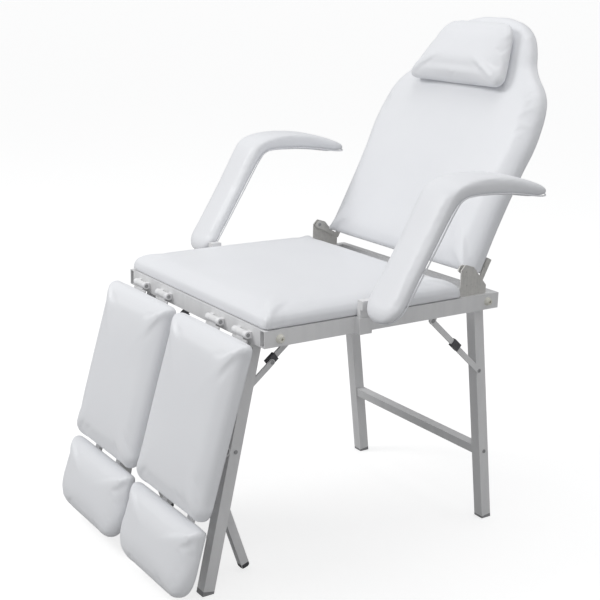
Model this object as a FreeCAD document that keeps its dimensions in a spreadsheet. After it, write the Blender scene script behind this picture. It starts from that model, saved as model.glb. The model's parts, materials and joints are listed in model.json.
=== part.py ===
import FreeCAD, Part
import os
import re
import Sketcher

# Facial treatment bed: a folding steel frame with an upholstered seat, a reclining back
# with a head pillow, two separate leg rests with pull-out foot pads, and two lift-off
# armrests.  Millimetres and degrees.  X runs across the bed, +Y runs to the head end and
# Z is up; the origin lies on the floor, under the middle of the whole bed.

# ---------------------------------------------------------------- driving dimensions
SIZES = {
    # seat frame, welded from rectangular tube
    "frame_width": 546, "frame_length": 581, "frame_top": 540, "frame_front": -294,
    "rail_height": 33, "rail_thick": 16, "tube_wall": 1.5,
    "cross_bar_size": 20, "mid_bar_setback": 300, "back_bar_inset": 141,
    # seat
    "board_thick": 9, "board_inset": 5, "seat_front": 4, "seat_back_gap": 13.5, "seat_inset": 5,
    "seat_thick": 36, "pad_round": 12,
    # folding legs, square tube
    "leg_size": 25, "leg_wall": 1.5, "rear_leg_inset": 18, "lane_gap": 2,
    "front_pivot_setback": 34, "rear_pivot_inset": 30, "front_pivot_drop": 18,
    "rear_pivot_drop": 16, "front_leg_tilt": 11.48, "rear_leg_tilt": 7.64,
    "front_leg_reach": 20.3, "rear_leg_reach": 17.2, "pivot_tube_radius": 8,
    "stud_radius": 5, "stud_length": 20, "foot_cap_height": 5, "foot_plug_height": 14,
    "front_low_bar_drop": 385, "front_high_bar_drop": 248, "rear_bar": 165,
    "leg_bar_size": 20,
    "bolt_radius": 4, "bolt_head": 1.5, "notch_play": 0.5,
    "stud_play": 0.05, "pivot_tube_inset": 7,
    "cap_radius": 9, "cap_tip_radius": 6, "cap_height": 8, "cap_hole_radius": 2.5,
    # folding braces of the legs, flat bar
    "brace_width": 12, "brace_thick": 4, "brace_gap": 3.2, "brace_drop": 45,
    "brace_round": 5.9, "catch_gap": 0.5,
    "front_brace_setback": 137, "rear_brace_inset": 160,
    "front_catch_drop": 137, "front_catch_side": -0.8, "rear_catch_drop": 164.9,
    "rear_catch_side": -3.9, "front_knee": 80, "rear_knee": 97.4,
    "bracket_thick": 3, "collar_length": 24, "collar_wall": 2, "collar_play": 0.4,
    "collar_start": -8,
    # back
    "back_tilt": 27, "back_pivot_inset": 89.5, "back_pivot_rise": 56,
    "back_face": 13, "back_bottom": 2, "back_pad_thick": 32, "back_inset": 12,
    "waist_inset": 18, "waist_height": 217, "shoulder_inset": 31, "shoulder_height": 388,
    "neck_inset": 77, "neck_height": 446, "head_inset": 123, "head_height": 524,
    "crown_inset": 191, "back_height": 566, "shoulder_round": 48, "neck_round": 36,
    "plate_thick": 3, "fixed_plate_inset": 11, "plate_gap": 6.5, "boss_radius": 11,
    "eye_radius": 9, "plate_shoulder_reach": 22, "plate_shoulder_rise": 4, "plate_rear_rise": 18,
    "arm_lip": 8, "flange_rise": 10, "flange_lap": 1,
    "hinge_pin_radius": 4, "pin_play": 0.05, "arm_depth": 12, "arm_rise": 46,
    "arm_flange": 30,
    # head pillow
    "pillow_bottom": 400, "pillow_height": 150, "pillow_half_bottom": 154,
    "pillow_half_top": 122, "pillow_thick": 55, "pillow_top_thick": 30, "pillow_gap": 1,
    "pillow_slope_start": 82.5, "pillow_round": 24,
    # leg rests and foot pads
    "rest_tilt": 15.6, "rest_pivot_reach": 8, "rest_pivot_drop": 17,
    "rest_thick": 39.5, "rest_start": 10, "rest_length": 345, "rest_inner": 8,
    "rest_overhang": 8, "rest_round": 26, "foot_gap": 11, "foot_length": 147,
    "foot_taper": 2, "foot_round": 58, "foot_side_gap": 1.5, "knuckle_radius": 7, "knuckle_mid": 24,
    "knuckle_side": 12, "knuckle_gap": 0.5, "knuckle_web": 6, "leaf_width": 50,
    "leaf_length": 60, "leaf_thick": 3, "leaf_start": 10, "inner_bar_gap": 55,
    "outer_bar_gap": 45,
    "guide_width": 22, "guide_depth": 11.5, "guide_start": 20, "guide_length": 330,
    "slide_play": 0.3, "slide_start": 40,
    # props that hold the leg rests up
    "prop_leg_gap": 27, "prop_size": 18, "prop_bar_gap": 10.93, "prop_length": 303,
    "prop_depth": 13.4, "prop_drop": 232, "sleeve_drop": 20, "sleeve_length": 20,
    "sleeve_wall": 2, "sleeve_play": 0.3, "ear_thick": 3, "ear_gap": 0.5, "ear_radius": 8,
    "ear_round": 5, "lug_gap": 17, "lug_round": 6.4,
    # armrests
    "arm_width": 98, "arm_setback": 200, "arm_round": 9, "arm_bend_round": 27,
    "stem_thick": 10, "stem_width": 24, "stem_reach": 8, "stem_drop": 34, "stem_rise": 34,
    "stem_boss": 6, "stem_boss_height": 18, "socket_wall": 3, "socket_play": 0.3,
}

# The armrest's outline seen from the side: how far behind arm_setback and how far above
# the frame's top each corner lies.
ARM_CORNERS = {
    "toe": (0, 12), "instep": (13, 37), "shin": (90, 155), "knee": (133, 222),
    "bend": (152, 253), "crest": (195, 263), "top": (250, 266), "slope": (300, 262),
    "wrist": (365, 249), "tip": (414, 228), "tip_under": (402, 220), "palm": (300, 225),
    "hollow": (192, 232), "elbow": (172, 220), "calf": (118, 138), "ankle": (40, 20),
    "heel": (26, 1),
}
for corner, (run, rise) in ARM_CORNERS.items():
    SIZES[f"arm_{corner}_run"] = run
    SIZES[f"arm_{corner}_rise"] = rise

doc = FreeCAD.newDocument("FacialTreatmentBed")
sheet = doc.addObject("Spreadsheet::Sheet", "Sizes")
for row, (alias, number) in enumerate(SIZES.items(), start=1):
    sheet.set(f"A{row}", alias)
    sheet.set(f"B{row}", str(number))
    sheet.setAlias(f"B{row}", alias)
doc.recompute()

# ---------------------------------------------------------------- derived names
# Each of these stands for an expression of the driving dimensions.
DERIVED = {
    "half_width": "frame_width / 2",
    "rail_inner": "frame_width / 2 - rail_thick",
    "rail_bottom": "frame_top - rail_height",
    "front_pivot_y": "frame_front + front_pivot_setback",
    "front_pivot_z": "frame_top - front_pivot_drop",
    "rear_pivot_setback": "frame_length - rear_pivot_inset",
    "rear_pivot_y": "frame_front + rear_pivot_setback",
    "rear_pivot_z": "frame_top - rear_pivot_drop",
    "brace_z": "frame_top - brace_drop",
    "front_brace_y": "frame_front + front_brace_setback",
    "rear_brace_y": "frame_front + frame_length - rear_brace_inset",
    "back_pivot_setback": "frame_length - back_pivot_inset",
    "back_pivot_y": "frame_front + back_pivot_setback",
    "back_pivot_height": "frame_top + back_pivot_rise",
    "back_half": "half_width - back_inset",
    "seat_half": "half_width - seat_inset",
    "seat_rear": "back_pivot_setback - seat_back_gap",
    "rear_leg_face": "rail_inner - rear_leg_inset",
    "front_leg_face": "rear_leg_face - leg_size - lane_gap",
    "front_leg_inner": "front_leg_face - leg_size",
    "front_leg_shift": "front_leg_reach - leg_size / 2",
    "rear_leg_shift": "rear_leg_reach - leg_size / 2",
    "front_notch_depth": "((rail_height - front_pivot_drop + front_leg_reach * sin(front_leg_tilt))"
                         " / cos(front_leg_tilt) + notch_play)",
    "rear_notch_depth": "((rail_height - rear_pivot_drop + rear_leg_reach * sin(rear_leg_tilt))"
                        " / cos(rear_leg_tilt) + notch_play)",
    "front_notch_side": "((rail_thick - front_pivot_setback + notch_play"
                        " + front_notch_depth * sin(front_leg_tilt)) / cos(front_leg_tilt))",
    "rear_notch_side": "((rear_pivot_inset - rail_thick - notch_play"
                       " - rear_notch_depth * sin(rear_leg_tilt)) / cos(rear_leg_tilt))",
    "fixed_plate_face": "half_width - fixed_plate_inset",
    "arm_plate_face": "fixed_plate_face - plate_gap - plate_thick",
    "prop_place": "front_leg_inner - prop_leg_gap",
    "inner_bar_place": "prop_place - inner_bar_gap",
    "outer_bar_place": "prop_place + outer_bar_gap",
    "rest_outer": "half_width + rest_overhang",
    "stem_near": "half_width + socket_wall",
    "stem_far": "half_width + socket_wall + stem_thick",
    "arm_inner": "half_width + socket_wall + stem_thick + stem_boss",
    "stem_setback": "arm_setback + stem_reach",
    "stem_top": "frame_top + stem_rise",
    "back_rear": "back_face + back_pad_thick",
    "back_board_rear": "back_face + back_pad_thick + board_thick",
    "rest_pivot_y": "frame_front - rest_pivot_reach",
    "rest_pivot_z": "frame_top - rest_pivot_drop",
    "rest_back": "0 - leaf_thick / 2 - guide_depth",
    "rest_face": "leaf_thick / 2 + guide_depth + rest_thick",
    "rest_end": "rest_start + rest_length",
    "foot_start": "rest_start + rest_length + foot_gap",
    "foot_end": "rest_start + rest_length + foot_gap + foot_length",
    "lug_side": "prop_depth - leaf_thick / 2 - guide_depth",
    "prop_top_y": "(rest_pivot_y + lug_side * cos(rest_tilt) - prop_drop * sin(rest_tilt))",
    "prop_top_z": "(rest_pivot_z - lug_side * sin(rest_tilt) - prop_drop * cos(rest_tilt))",
    "low_bar_z": "(frame_top - front_low_bar_drop)",
    "low_bar_y": "(front_pivot_y - front_leg_shift / cos(front_leg_tilt)"
                 " + (low_bar_z - front_pivot_z) * tan(front_leg_tilt))",
    "prop_past_bar": "(low_bar_y + leg_bar_size / 2 + prop_size / 2 + prop_bar_gap)",
    "prop_tilt": "atan((prop_past_bar - prop_top_y) / (prop_top_z - low_bar_z))",
    "sleeve_y": "(prop_top_y + sleeve_drop * sin(prop_tilt))",
    "sleeve_z": "(prop_top_z - sleeve_drop * cos(prop_tilt))",
    "sleeve_half": "prop_size / 2 + sleeve_play + sleeve_wall",
    "upper_tube_side": "0 - front_leg_reach - leg_bar_size / 2",
    "upper_tube_z": "frame_top - front_high_bar_drop",
    "upper_tube_y": "(front_pivot_y + upper_tube_side / cos(front_leg_tilt)"
                    " + (upper_tube_z - front_pivot_z) * tan(front_leg_tilt))",
}


def expand(text):
    """An expression for FreeCAD: derived names written out, sheet names prefixed."""
    def swap(match):
        word = match.group(0)
        if word in DERIVED:
            return f"({expand(DERIVED[word])})"
        return f"Sizes.{word}" if word in SIZES else word
    return re.sub(r"(?<![.\w])[a-z_]+(?![\w(])", swap, str(text))


def value(text):
    """The number that an expression has now."""
    found = sheet.evalExpression(expand(text))
    return float(getattr(found, "Value", found))


# ---------------------------------------------------------------- frames of reference
# A frame is (y, z, turn about X): where a sub-part's own origin lies in the bed.
BED = ("0", "0", "0")
SEAT = ("frame_front", "0", "0")
FRONT_LEGS = ("front_pivot_y", "front_pivot_z", "0 - front_leg_tilt")
REAR_LEGS = ("rear_pivot_y", "rear_pivot_z", "rear_leg_tilt")
BACK = ("back_pivot_y", "back_pivot_height", "0 - back_tilt")
REST = ("rest_pivot_y", "rest_pivot_z", "0 - rest_tilt")
PROP = ("sleeve_y", "sleeve_z", "prop_tilt")
EARS = ("upper_tube_y", "upper_tube_z",
        "atan2(sleeve_y - upper_tube_y; upper_tube_z - sleeve_z)")

# Sketch planes: the role of the origin plane, and whether its normal points to -Y.
PLANES = {"side": ("YZ_Plane", False), "front": ("XZ_Plane", True), "top": ("XY_Plane", False)}

kept = []


def place(thing, frame):
    """Bind a sub-part's Placement to its frame."""
    thing.Placement = FreeCAD.Placement(
        FreeCAD.Vector(), FreeCAD.Rotation(FreeCAD.Vector(1, 0, 0), 1))
    thing.setExpression("Placement.Base.y", expand(frame[0]))
    thing.setExpression("Placement.Base.z", expand(frame[1]))
    thing.setExpression("Placement.Rotation.Angle", expand(frame[2]))


def pin_point(sketch, name, element, end, across, up):
    """Fix one point of a sketch by two named, bound distances from its origin."""
    for kind, text, mark in (("DistanceX", across, "u"), ("DistanceY", up, "v")):
        number = value(text)
        index = sketch.addConstraint(
            Sketcher.Constraint(kind, -1, 1, element, end, number))
        sketch.renameConstraint(index, f"{name}_{mark}")
        sketch.setExpression(f"Constraints.{name}_{mark}", expand(text))


def draw(sketch, outline, tag):
    """Draw a circle ("circle", u, v, radius) or a closed polygon of (u, v) corners."""
    if outline[0] == "circle":
        _, across, up, radius = outline
        centre = FreeCAD.Vector(value(across), value(up), 0)
        element = sketch.addGeometry(
            Part.Circle(centre, FreeCAD.Vector(0, 0, 1), value(radius)), False)
        index = sketch.addConstraint(
            Sketcher.Constraint("Radius", element, value(radius)))
        sketch.renameConstraint(index, f"{tag}_radius")
        sketch.setExpression(f"Constraints.{tag}_radius", expand(radius))
        pin_point(sketch, f"{tag}_centre", element, 3, across, up)
        return
    corners = [FreeCAD.Vector(value(u), value(v), 0) for u, v in outline]
    first = sketch.GeometryCount
    for start, end in zip(corners, corners[1:] + corners[:1]):
        sketch.addGeometry(Part.LineSegment(start, end), False)
    count = len(corners)
    for number in range(count):
        after = first + (number + 1) % count
        sketch.addConstraint(Sketcher.Constraint("Coincident", first + number, 2, after, 1))
    for number, (across, up) in enumerate(outline):
        pin_point(sketch, f"{tag}_{number}", first + number, 1, across, up)


def rect(left, bottom, right, top):
    """Corners of a rectangle."""
    return [(left, bottom), (right, bottom), (right, top), (left, top)]


def body(label, frame, *features, mirror=False, keep=True):
    """A PartDesign body from pads and pockets.

    A feature is (kind, plane, outlines, start, end, round): kind is pad or pocket, start
    and end lie along the plane's axis in +X, +Y or +Z, and round is the radius given to
    the corners of a pad (or None).  A mirrored body is built on the other side in X.
    """
    made = doc.addObject("PartDesign::Body", label)
    made.Label = label
    planes = {plane.Role: plane for plane in made.Origin.OriginFeatures}
    for number, (kind, plane, outlines, start, end, radius) in enumerate(features):
        role, flipped = PLANES[plane]
        if mirror and plane == "side":
            start, end = f"0 - ({end})", f"0 - ({start})"
        if mirror and plane != "side":
            outlines = [mirrored(outline) for outline in outlines]
        sketch = made.newObject("Sketcher::SketchObject", f"{label}_sketch_{number}")
        sketch.AttachmentSupport = [(planes[role], "")]
        sketch.MapMode = "FlatFace"
        offset = f"0 - ({start})" if flipped else start
        sketch.setExpression("AttachmentOffset.Base.z", expand(offset))
        for index, outline in enumerate(outlines):
            draw(sketch, outline, f"line_{chr(97 + index)}")
        step = made.newObject(f"PartDesign::{kind.title()}", f"{label}_{kind}_{number}")
        step.Profile = sketch
        # A pad runs along the normal and a pocket against it, so one of them is reversed.
        step.Reversed = flipped if kind == "pad" else not flipped
        step.setExpression("Length", expand(f"({end}) - ({start})"))
        before = made.Shape.Volume if number and made.Shape else 0.0
        doc.recompute()
        if radius:
            step = round_corners(made, step, plane, outlines[0], radius)
        if kind == "pocket" and made.Shape.Volume >= before - 1e-6:
            raise ValueError(f"{label}: pocket {number} cuts nothing")
    place(made, frame)
    if keep:
        kept.append(made)
    return made


def mirrored(outline):
    """The outline on the other side in X."""
    if outline[0] == "circle":
        return ("circle", f"0 - ({outline[1]})", outline[2], outline[3])
    return [(f"0 - ({u})", v) for u, v in outline]


def round_corners(made, step, plane, corners, radii):
    """Fillet the edges that run along the pad at the outline's corners.

    radii is one expression for all corners, or a dictionary from corner number to one.
    """
    if not isinstance(radii, dict):
        radii = {number: radii for number in range(len(corners))}
    axes = {"side": (1, 2), "front": (0, 2), "top": (0, 1)}[plane]
    along = 3 - sum(axes)
    for radius in dict.fromkeys(radii.values()):
        spots = [(value(corners[number][0]), value(corners[number][1]))
                 for number, text in radii.items() if text == radius]
        names = []
        for index, edge in enumerate(step.Shape.Edges, start=1):
            ends = [vertex.Point for vertex in edge.Vertexes]
            if len(ends) != 2 or abs(ends[0][along] - ends[1][along]) < 1e-6:
                continue
            flat = [(point[axes[0]], point[axes[1]]) for point in ends]
            if any(all(abs(u - p) + abs(v - q) < 1e-4 for u, v in flat) for p, q in spots):
                names.append(f"Edge{index}")
        fillet = made.newObject("PartDesign::Fillet", f"{made.Name}_fillet_{len(kept)}")
        fillet.Base = (step, names)
        fillet.setExpression("Radius", expand(radius))
        doc.recompute()
        step = fillet
    return step


def pad(plane, outline, start, end, radius=None, holes=()):
    return ("pad", plane, [outline, *holes], start, end, radius)


def pocket(plane, outline, start, end):
    return ("pocket", plane, [outline], start, end, None)


def group(label, members):
    """Separate, identical pieces kept together in one named node."""
    made = doc.addObject("Part::Compound", label)
    made.Label = label
    made.Links = members
    kept.append(made)
    return made


def square_tube(label, frame, centre, half_u, half_v, start, end, plane, wall, **options):
    """A rectangular tube along a plane's axis, centred on (u, v)."""
    u, v = centre
    outer = rect(f"{u} - ({half_u})", f"{v} - ({half_v})",
                 f"{u} + ({half_u})", f"{v} + ({half_v})")
    inner = rect(f"{u} - ({half_u}) + {wall}", f"{v} - ({half_v}) + {wall}",
                 f"{u} + ({half_u}) - {wall}", f"{v} + ({half_v}) - {wall}")
    return body(label, frame, pad(plane, outer, start, end, None, [inner]), **options)


BOTH = (("left", True), ("right", False))


# ---------------------------------------------------------------- seat frame
def seat_frame():
    """Four rails of rectangular tube, two cross bars and the caps over the leg pivots."""
    rail_mid = "(frame_top - rail_height / 2)"
    for side, mirror in BOTH:
        square_tube(f"side_rail_{side}", SEAT, ("(half_width - rail_thick / 2)", rail_mid),
                    "rail_thick / 2", "rail_height / 2", "0", "frame_length", "front",
                    "tube_wall", mirror=mirror)
    for name, middle in (("front_rail", "rail_thick / 2"),
                         ("rear_rail", "frame_length - rail_thick / 2")):
        square_tube(name, SEAT, (f"({middle})", rail_mid), "rail_thick / 2",
                    "rail_height / 2", "0 - rail_inner", "rail_inner", "side", "tube_wall")
    bars = [square_tube(f"cross_bar_{number}", SEAT,
                        (setback, "(frame_top - cross_bar_size / 2)"),
                        "cross_bar_size / 2", "cross_bar_size / 2",
                        "0 - rail_inner", "rail_inner", "side", "tube_wall", keep=False)
            for number, setback in enumerate(("mid_bar_setback",
                                                 "(frame_length - back_bar_inset)"))]
    group("seat_cross_bars", bars)
    caps, studs = [], []
    for pivot_y, pivot_z in (("front_pivot_y", "front_pivot_z"),
                             ("rear_pivot_y", "rear_pivot_z")):
        for side in (1, -1):
            caps.append(rail_cap(len(caps), pivot_y, pivot_z, side))
            studs.append(rod(f"stud_{len(studs)}", "stud_radius", "stud_length",
                             f"{side} * rail_inner", pivot_y, pivot_z, -side))
    group("rail_caps", caps)
    group("leg_pivot_studs", studs)


def rod(label, radius, length, x, y, z, direction):
    """A round pin along X that starts at x and runs towards direction."""
    made = doc.addObject("Part::Cylinder", label)
    made.setExpression("Radius", expand(radius))
    made.setExpression("Height", expand(length))
    turn = FreeCAD.Rotation(FreeCAD.Vector(0, 0, 1), FreeCAD.Vector(direction, 0, 0))
    made.Placement = FreeCAD.Placement(FreeCAD.Vector(), turn)
    for axis, text in (("x", x), ("y", y), ("z", z)):
        made.setExpression(f"Placement.Base.{axis}", expand(text))
    return made


def rail_cap(number, y, z, side):
    """A conical plastic cap with a hole in its middle, on a rail's outer face."""
    cone = doc.addObject("Part::Cone", f"cap_cone_{number}")
    cone.setExpression("Radius1", expand("cap_radius"))
    cone.setExpression("Radius2", expand("cap_tip_radius"))
    cone.setExpression("Height", expand("cap_height"))
    turn = FreeCAD.Rotation(FreeCAD.Vector(0, 0, 1), FreeCAD.Vector(side, 0, 0))
    cone.Placement = FreeCAD.Placement(FreeCAD.Vector(), turn)
    hole_start = f"{side} * (half_width + cap_height / 2)"
    hole = rod(f"cap_hole_{number}", "cap_hole_radius", "cap_height", hole_start, y, z, side)
    for axis, text in (("x", f"{side} * half_width"), ("y", y), ("z", z)):
        cone.setExpression(f"Placement.Base.{axis}", expand(text))
    cut = doc.addObject("Part::Cut", f"rail_cap_{number}")
    cut.Base = cone
    cut.Tool = hole
    return cut


def seat():
    """Plywood seat board and the upholstered pad that wraps over its edges."""
    board = rect("0 - seat_half + board_inset", "seat_front + board_inset",
                 "seat_half - board_inset", "seat_rear - board_inset")
    body("seat_board", SEAT, pad("top", board, "frame_top", "frame_top + board_thick"))
    outline = rect("0 - seat_half", "seat_front", "seat_half", "seat_rear")
    body("seat_pad", SEAT,
         pad("top", outline, "frame_top", "frame_top + seat_thick", "pad_round"),
         pocket("top", board, "frame_top", "frame_top + board_thick"))


# ---------------------------------------------------------------- folding legs
def leg_frame(name, frame, face, shift, pivot_z, tilt, bar_height):
    """Two legs, the tube they fold on, their low crossbar and their plastic feet."""
    middle_x = f"({face} - leg_size / 2)"
    floor = lambda side: f"((0 - {pivot_z} - ({side}) * sin({tilt})) / cos({tilt}))"
    front_side, rear_side = f"{shift} - leg_size / 2", f"{shift} + leg_size / 2"
    low = f"(max({floor(front_side)}; {floor(rear_side)}) + foot_cap_height)"
    half = "leg_size / 2"
    outer = rect(f"{middle_x} - {half}", front_side, f"{middle_x} + {half}", rear_side)
    inner = rect(f"{middle_x} - {half} + leg_wall", f"{front_side} + leg_wall",
                 f"{middle_x} + {half} - leg_wall", f"{rear_side} - leg_wall")
    # The leg's top is notched on the side of the rail that it stands beside.
    notch = (rect(f"{front_side} - notch_play", "0 - front_notch_depth", "front_notch_side", "0")
             if name == "front" else
             rect("rear_notch_side", "0 - rear_notch_depth", f"{rear_side} + notch_play", "0"))
    for side, mirror in BOTH:
        body(f"{name}_leg_{side}", frame,
             pad("top", outer, low, "0 - pivot_tube_radius", None, [inner]),
             pocket("side", notch, f"{face} - leg_size", face), mirror=mirror)
    caps = []
    for side, mirror in BOTH:
        sole = [(front_side, floor(front_side)), (rear_side, floor(rear_side)),
                (rear_side, low), (front_side, low)]
        plug = rect(f"{front_side} + leg_wall", low,
                    f"{rear_side} - leg_wall", f"{low} + foot_plug_height")
        caps.append(body(f"{name}_foot_{side}", frame,
                         pad("side", sole, f"{face} - leg_size", face),
                         pad("side", plug, f"{face} - leg_size + leg_wall",
                             f"{face} - leg_wall"), mirror=mirror, keep=False))
    group(f"{name}_foot_caps", caps)
    reach = "(rail_inner - pivot_tube_inset)"
    body(f"{name}_pivot_tube", frame,
         pad("side", ("circle", "0", "0", "pivot_tube_radius"), f"0 - {reach}", reach, None,
             [("circle", "0", "0", "stud_radius + stud_play")]))
    return middle_x, bar_centre(pivot_z, tilt, shift, bar_height)


def bar_centre(pivot_z, tilt, side, height):
    """Where a bar at a height above the floor lies along the leg."""
    return f"((({height}) - {pivot_z} - ({side}) * sin({tilt})) / cos({tilt}))"


def front_legs():
    """The front leg frame, with the high cross tube that carries the props."""
    tilt, shift = "0 - front_leg_tilt", "(0 - front_leg_shift)"
    _, low = leg_frame("front", FRONT_LEGS, "front_leg_face", shift, "front_pivot_z",
                       tilt, "low_bar_z")
    low_bar = square_tube("front_low_bar_tube", FRONT_LEGS, (shift, low),
                          "leg_bar_size / 2", "leg_bar_size / 2", "0 - front_leg_inner",
                          "front_leg_inner", "side", "leg_wall", keep=False)
    high = bar_centre("front_pivot_z", tilt, "upper_tube_side", "upper_tube_z")
    high_bar = body("front_high_bar_tube", FRONT_LEGS,
                    pad("side", ("circle", "upper_tube_side", high, "leg_bar_size / 2"),
                        "0 - front_leg_face", "front_leg_face", None,
                        [("circle", "upper_tube_side", high, "leg_bar_size / 2 - leg_wall")]),
                    keep=False)
    group("front_crossbars", [low_bar, high_bar])
    bolt = [body(f"front_bolt_{side}", FRONT_LEGS,
                 pad("side", ("circle", shift, high, "bolt_radius"), "front_leg_face",
                     "front_leg_face + bolt_head"), mirror=mirror, keep=False)
            for side, mirror in BOTH]
    group("front_leg_bolts", bolt)
    prop_brackets()


def rear_legs():
    """The rear leg frame, which is wider, so that it folds outside the front one."""
    tilt, shift = "rear_leg_tilt", "rear_leg_shift"
    _, low = leg_frame("rear", REAR_LEGS, "rear_leg_face", shift, "rear_pivot_z",
                       tilt, "rear_bar")
    inner = "(rear_leg_face - leg_size)"
    square_tube("rear_crossbar", REAR_LEGS, (shift, low), "leg_bar_size / 2",
                "leg_bar_size / 2", f"0 - {inner}", inner, "side", "leg_wall")
    bolt = [body(f"rear_bolt_{side}", REAR_LEGS,
                 pad("side", ("circle", shift, low, "bolt_radius"), "rear_leg_face",
                     "rear_leg_face + bolt_head"), mirror=mirror, keep=False)
            for side, mirror in BOTH]
    group("rear_leg_bolts", bolt)


def prop_brackets():
    """Pairs of ears that reach from the high cross tube to each prop's sleeve."""
    reach = "sqrt((upper_tube_y - sleeve_y) ^ 2 + (upper_tube_z - sleeve_z) ^ 2)"
    strip = rect("0 - ear_radius", f"0 - {reach} - ear_radius", "ear_radius", "0")
    gap = "(sleeve_half + ear_gap)"
    ears = []
    for side, mirror in BOTH:
        for number, (near, far) in enumerate((
                (f"prop_place + {gap}", f"prop_place + {gap} + ear_thick"),
                (f"prop_place - {gap} - ear_thick", f"prop_place - {gap}"))):
            ears.append(body(f"prop_ear_{side}_{number}", EARS,
                             pad("side", strip, near, far, {0: "ear_round", 1: "ear_round"}),
                             pocket("side", ("circle", "0", "0", "leg_bar_size / 2"), near, far),
                             mirror=mirror, keep=False))
    group("prop_brackets", ears)


# ---------------------------------------------------------------- leg braces
def brace_set(name, pivot_y, leg_frame_of, pivot_z, catch_side, catch_drop, knee, lane):
    """Flat-bar braces: upper bars from the frame, lower bars from the legs, collars.

    lane is the X of the bars' face on the leg's side and the direction away from it.
    """
    foot_y, foot_z, turn = leg_frame_of
    catch_y = f"({foot_y} + ({catch_side}) * cos({turn}) + {catch_drop} * sin({turn}))"
    catch_z = f"({foot_z} + ({catch_side}) * sin({turn}) - {catch_drop} * cos({turn}))"
    run = f"({catch_y} - {pivot_y})"
    fall = f"(brace_z - {catch_z})"
    span = f"sqrt({run} ^ 2 + {fall} ^ 2)"
    # The bars' own frame has its Z along the brace, pointing up to the frame's bracket.
    lean = f"(atan({run} / {fall}))"
    frame = (pivot_y, "brace_z", lean)
    face, away = lane
    near = f"({face} + {away} * catch_gap)"
    mid = f"({near} + {away} * brace_thick)"
    far = f"({mid} + {away} * (brace_gap + brace_thick))"
    mid_gap = f"({mid} + {away} * brace_gap)"
    half = "brace_width / 2"
    lower, upper, brackets = [], [], []
    for side, mirror in BOTH:
        start, end = (near, mid) if away > 0 else (mid, near)
        strip = [(f"0 - {half}", f"0 - {span} - {half}"), (half, f"0 - {span} - {half}"),
                 (half, f"0 - {knee} + {half}"), (f"0 - {half}", f"0 - {knee} + {half}")]
        lower.append(body(f"{name}_lower_{side}", frame,
                          pad("side", strip, start, end, "brace_round"),
                          mirror=mirror, keep=False))
        start, end = (mid_gap, far) if away > 0 else (far, mid_gap)
        strip = [(f"0 - {half}", f"0 - {knee} - {half}"), (half, f"0 - {knee} - {half}"),
                 (half, half), (f"0 - {half}", half)]
        upper.append(body(f"{name}_upper_{side}", frame,
                          pad("side", strip, start, end, "brace_round"),
                          mirror=mirror, keep=False))
        edge = f"({far} + {away} * catch_gap)"
        start, end = ((edge, f"{edge} + bracket_thick") if away > 0 else
                      (f"{edge} - bracket_thick", edge))
        plate = [(f"{pivot_y} - brace_width", "rail_bottom"),
                 (f"{pivot_y} - brace_width / 2", f"brace_z - {half}"),
                 (f"{pivot_y} + brace_width / 2", f"brace_z - {half}"),
                 (f"{pivot_y} + brace_width", "rail_bottom")]
        shelf = rect(f"{pivot_y} - brace_width", "rail_bottom",
                     f"{pivot_y} + brace_width", "rail_bottom + bracket_thick")
        brackets.append(body(f"{name}_bracket_{side}", BED,
                             pad("side", plate, start, end),
                             pad("side", shelf, start, "rail_inner"),
                             mirror=mirror, keep=False))
        collar(name, side, mirror, frame, (mid_gap, far), away, knee)
    group(f"{name}_lower", lower)
    group(f"{name}_upper", upper)
    return brackets


def collar(name, side, mirror, frame, bar, away, knee):
    """A locking collar that slides on the upper bar and hides the knee when it is down."""
    low, high = bar if away > 0 else bar[::-1]
    half = "(brace_width / 2 + collar_play)"
    hole = rect(f"{low} - collar_play", f"0 - {half}", f"{high} + collar_play", half)
    shell = rect(f"{low} - collar_play - collar_wall", f"0 - {half} - collar_wall",
                 f"{high} + collar_play + collar_wall", f"{half} + collar_wall")
    start = f"0 - {knee} + collar_start"
    body(f"{name}_collar_{side}", frame,
         pad("top", shell, start, f"{start} + collar_length", None, [hole]), mirror=mirror)


def braces():
    """Front braces run inside the front legs, rear braces outside the rear legs."""
    front = brace_set("front_brace", "front_brace_y", FRONT_LEGS, "front_pivot_z",
                      "front_catch_side", "front_catch_drop", "front_knee",
                      ("front_leg_inner", -1))
    rear = brace_set("rear_brace", "rear_brace_y", REAR_LEGS, "rear_pivot_z",
                     "rear_catch_side", "rear_catch_drop", "rear_knee",
                     ("rear_leg_face", 1))
    group("brace_brackets", front + rear)


# ---------------------------------------------------------------- back
def back():
    """Back board and pad, and the hinge plates at both sides."""
    right_side = [(f"(half_width - {inset})", height) for inset, height in (
        ("back_inset", "back_bottom"), ("waist_inset", "waist_height"),
        ("shoulder_inset", "shoulder_height"), ("neck_inset", "neck_height"),
        ("head_inset", "head_height"), ("crown_inset", "back_height"))]
    left_side = [(f"0 - {u}", v) for u, v in reversed(right_side)]
    outline = right_side + left_side
    count = len(outline)
    rounds = {}
    for corner, radius in ((0, "pad_round"), (2, "shoulder_round"), (3, "neck_round"),
                           (4, "shoulder_round"), (5, "shoulder_round")):
        rounds[corner] = rounds[count - 1 - corner] = radius
    body("back_pad", BACK, pad("front", outline, "back_face", "back_rear", rounds))
    inset = [(f"{u} - 2 * board_inset", v) for u, v in right_side]
    inset[0] = (inset[0][0], "back_bottom + board_inset")
    inset[-1] = (inset[-1][0], "back_height - 2 * board_inset")
    board = inset + [(f"0 - ({u})", v) for u, v in reversed(inset)]
    body("back_board", BACK, pad("front", board, "back_rear", "back_board_rear"))
    pins = []
    for side, mirror in BOTH:
        fixed_plate(side, mirror)
        moving_plate(side, mirror)
        sign = -1 if mirror else 1
        pins.append(rod(f"back_pin_{side}", "hinge_pin_radius",
                        "fixed_plate_face - arm_plate_face",
                        f"{sign} * arm_plate_face", "back_pivot_y", "back_pivot_height",
                        sign))
    return pins


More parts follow.
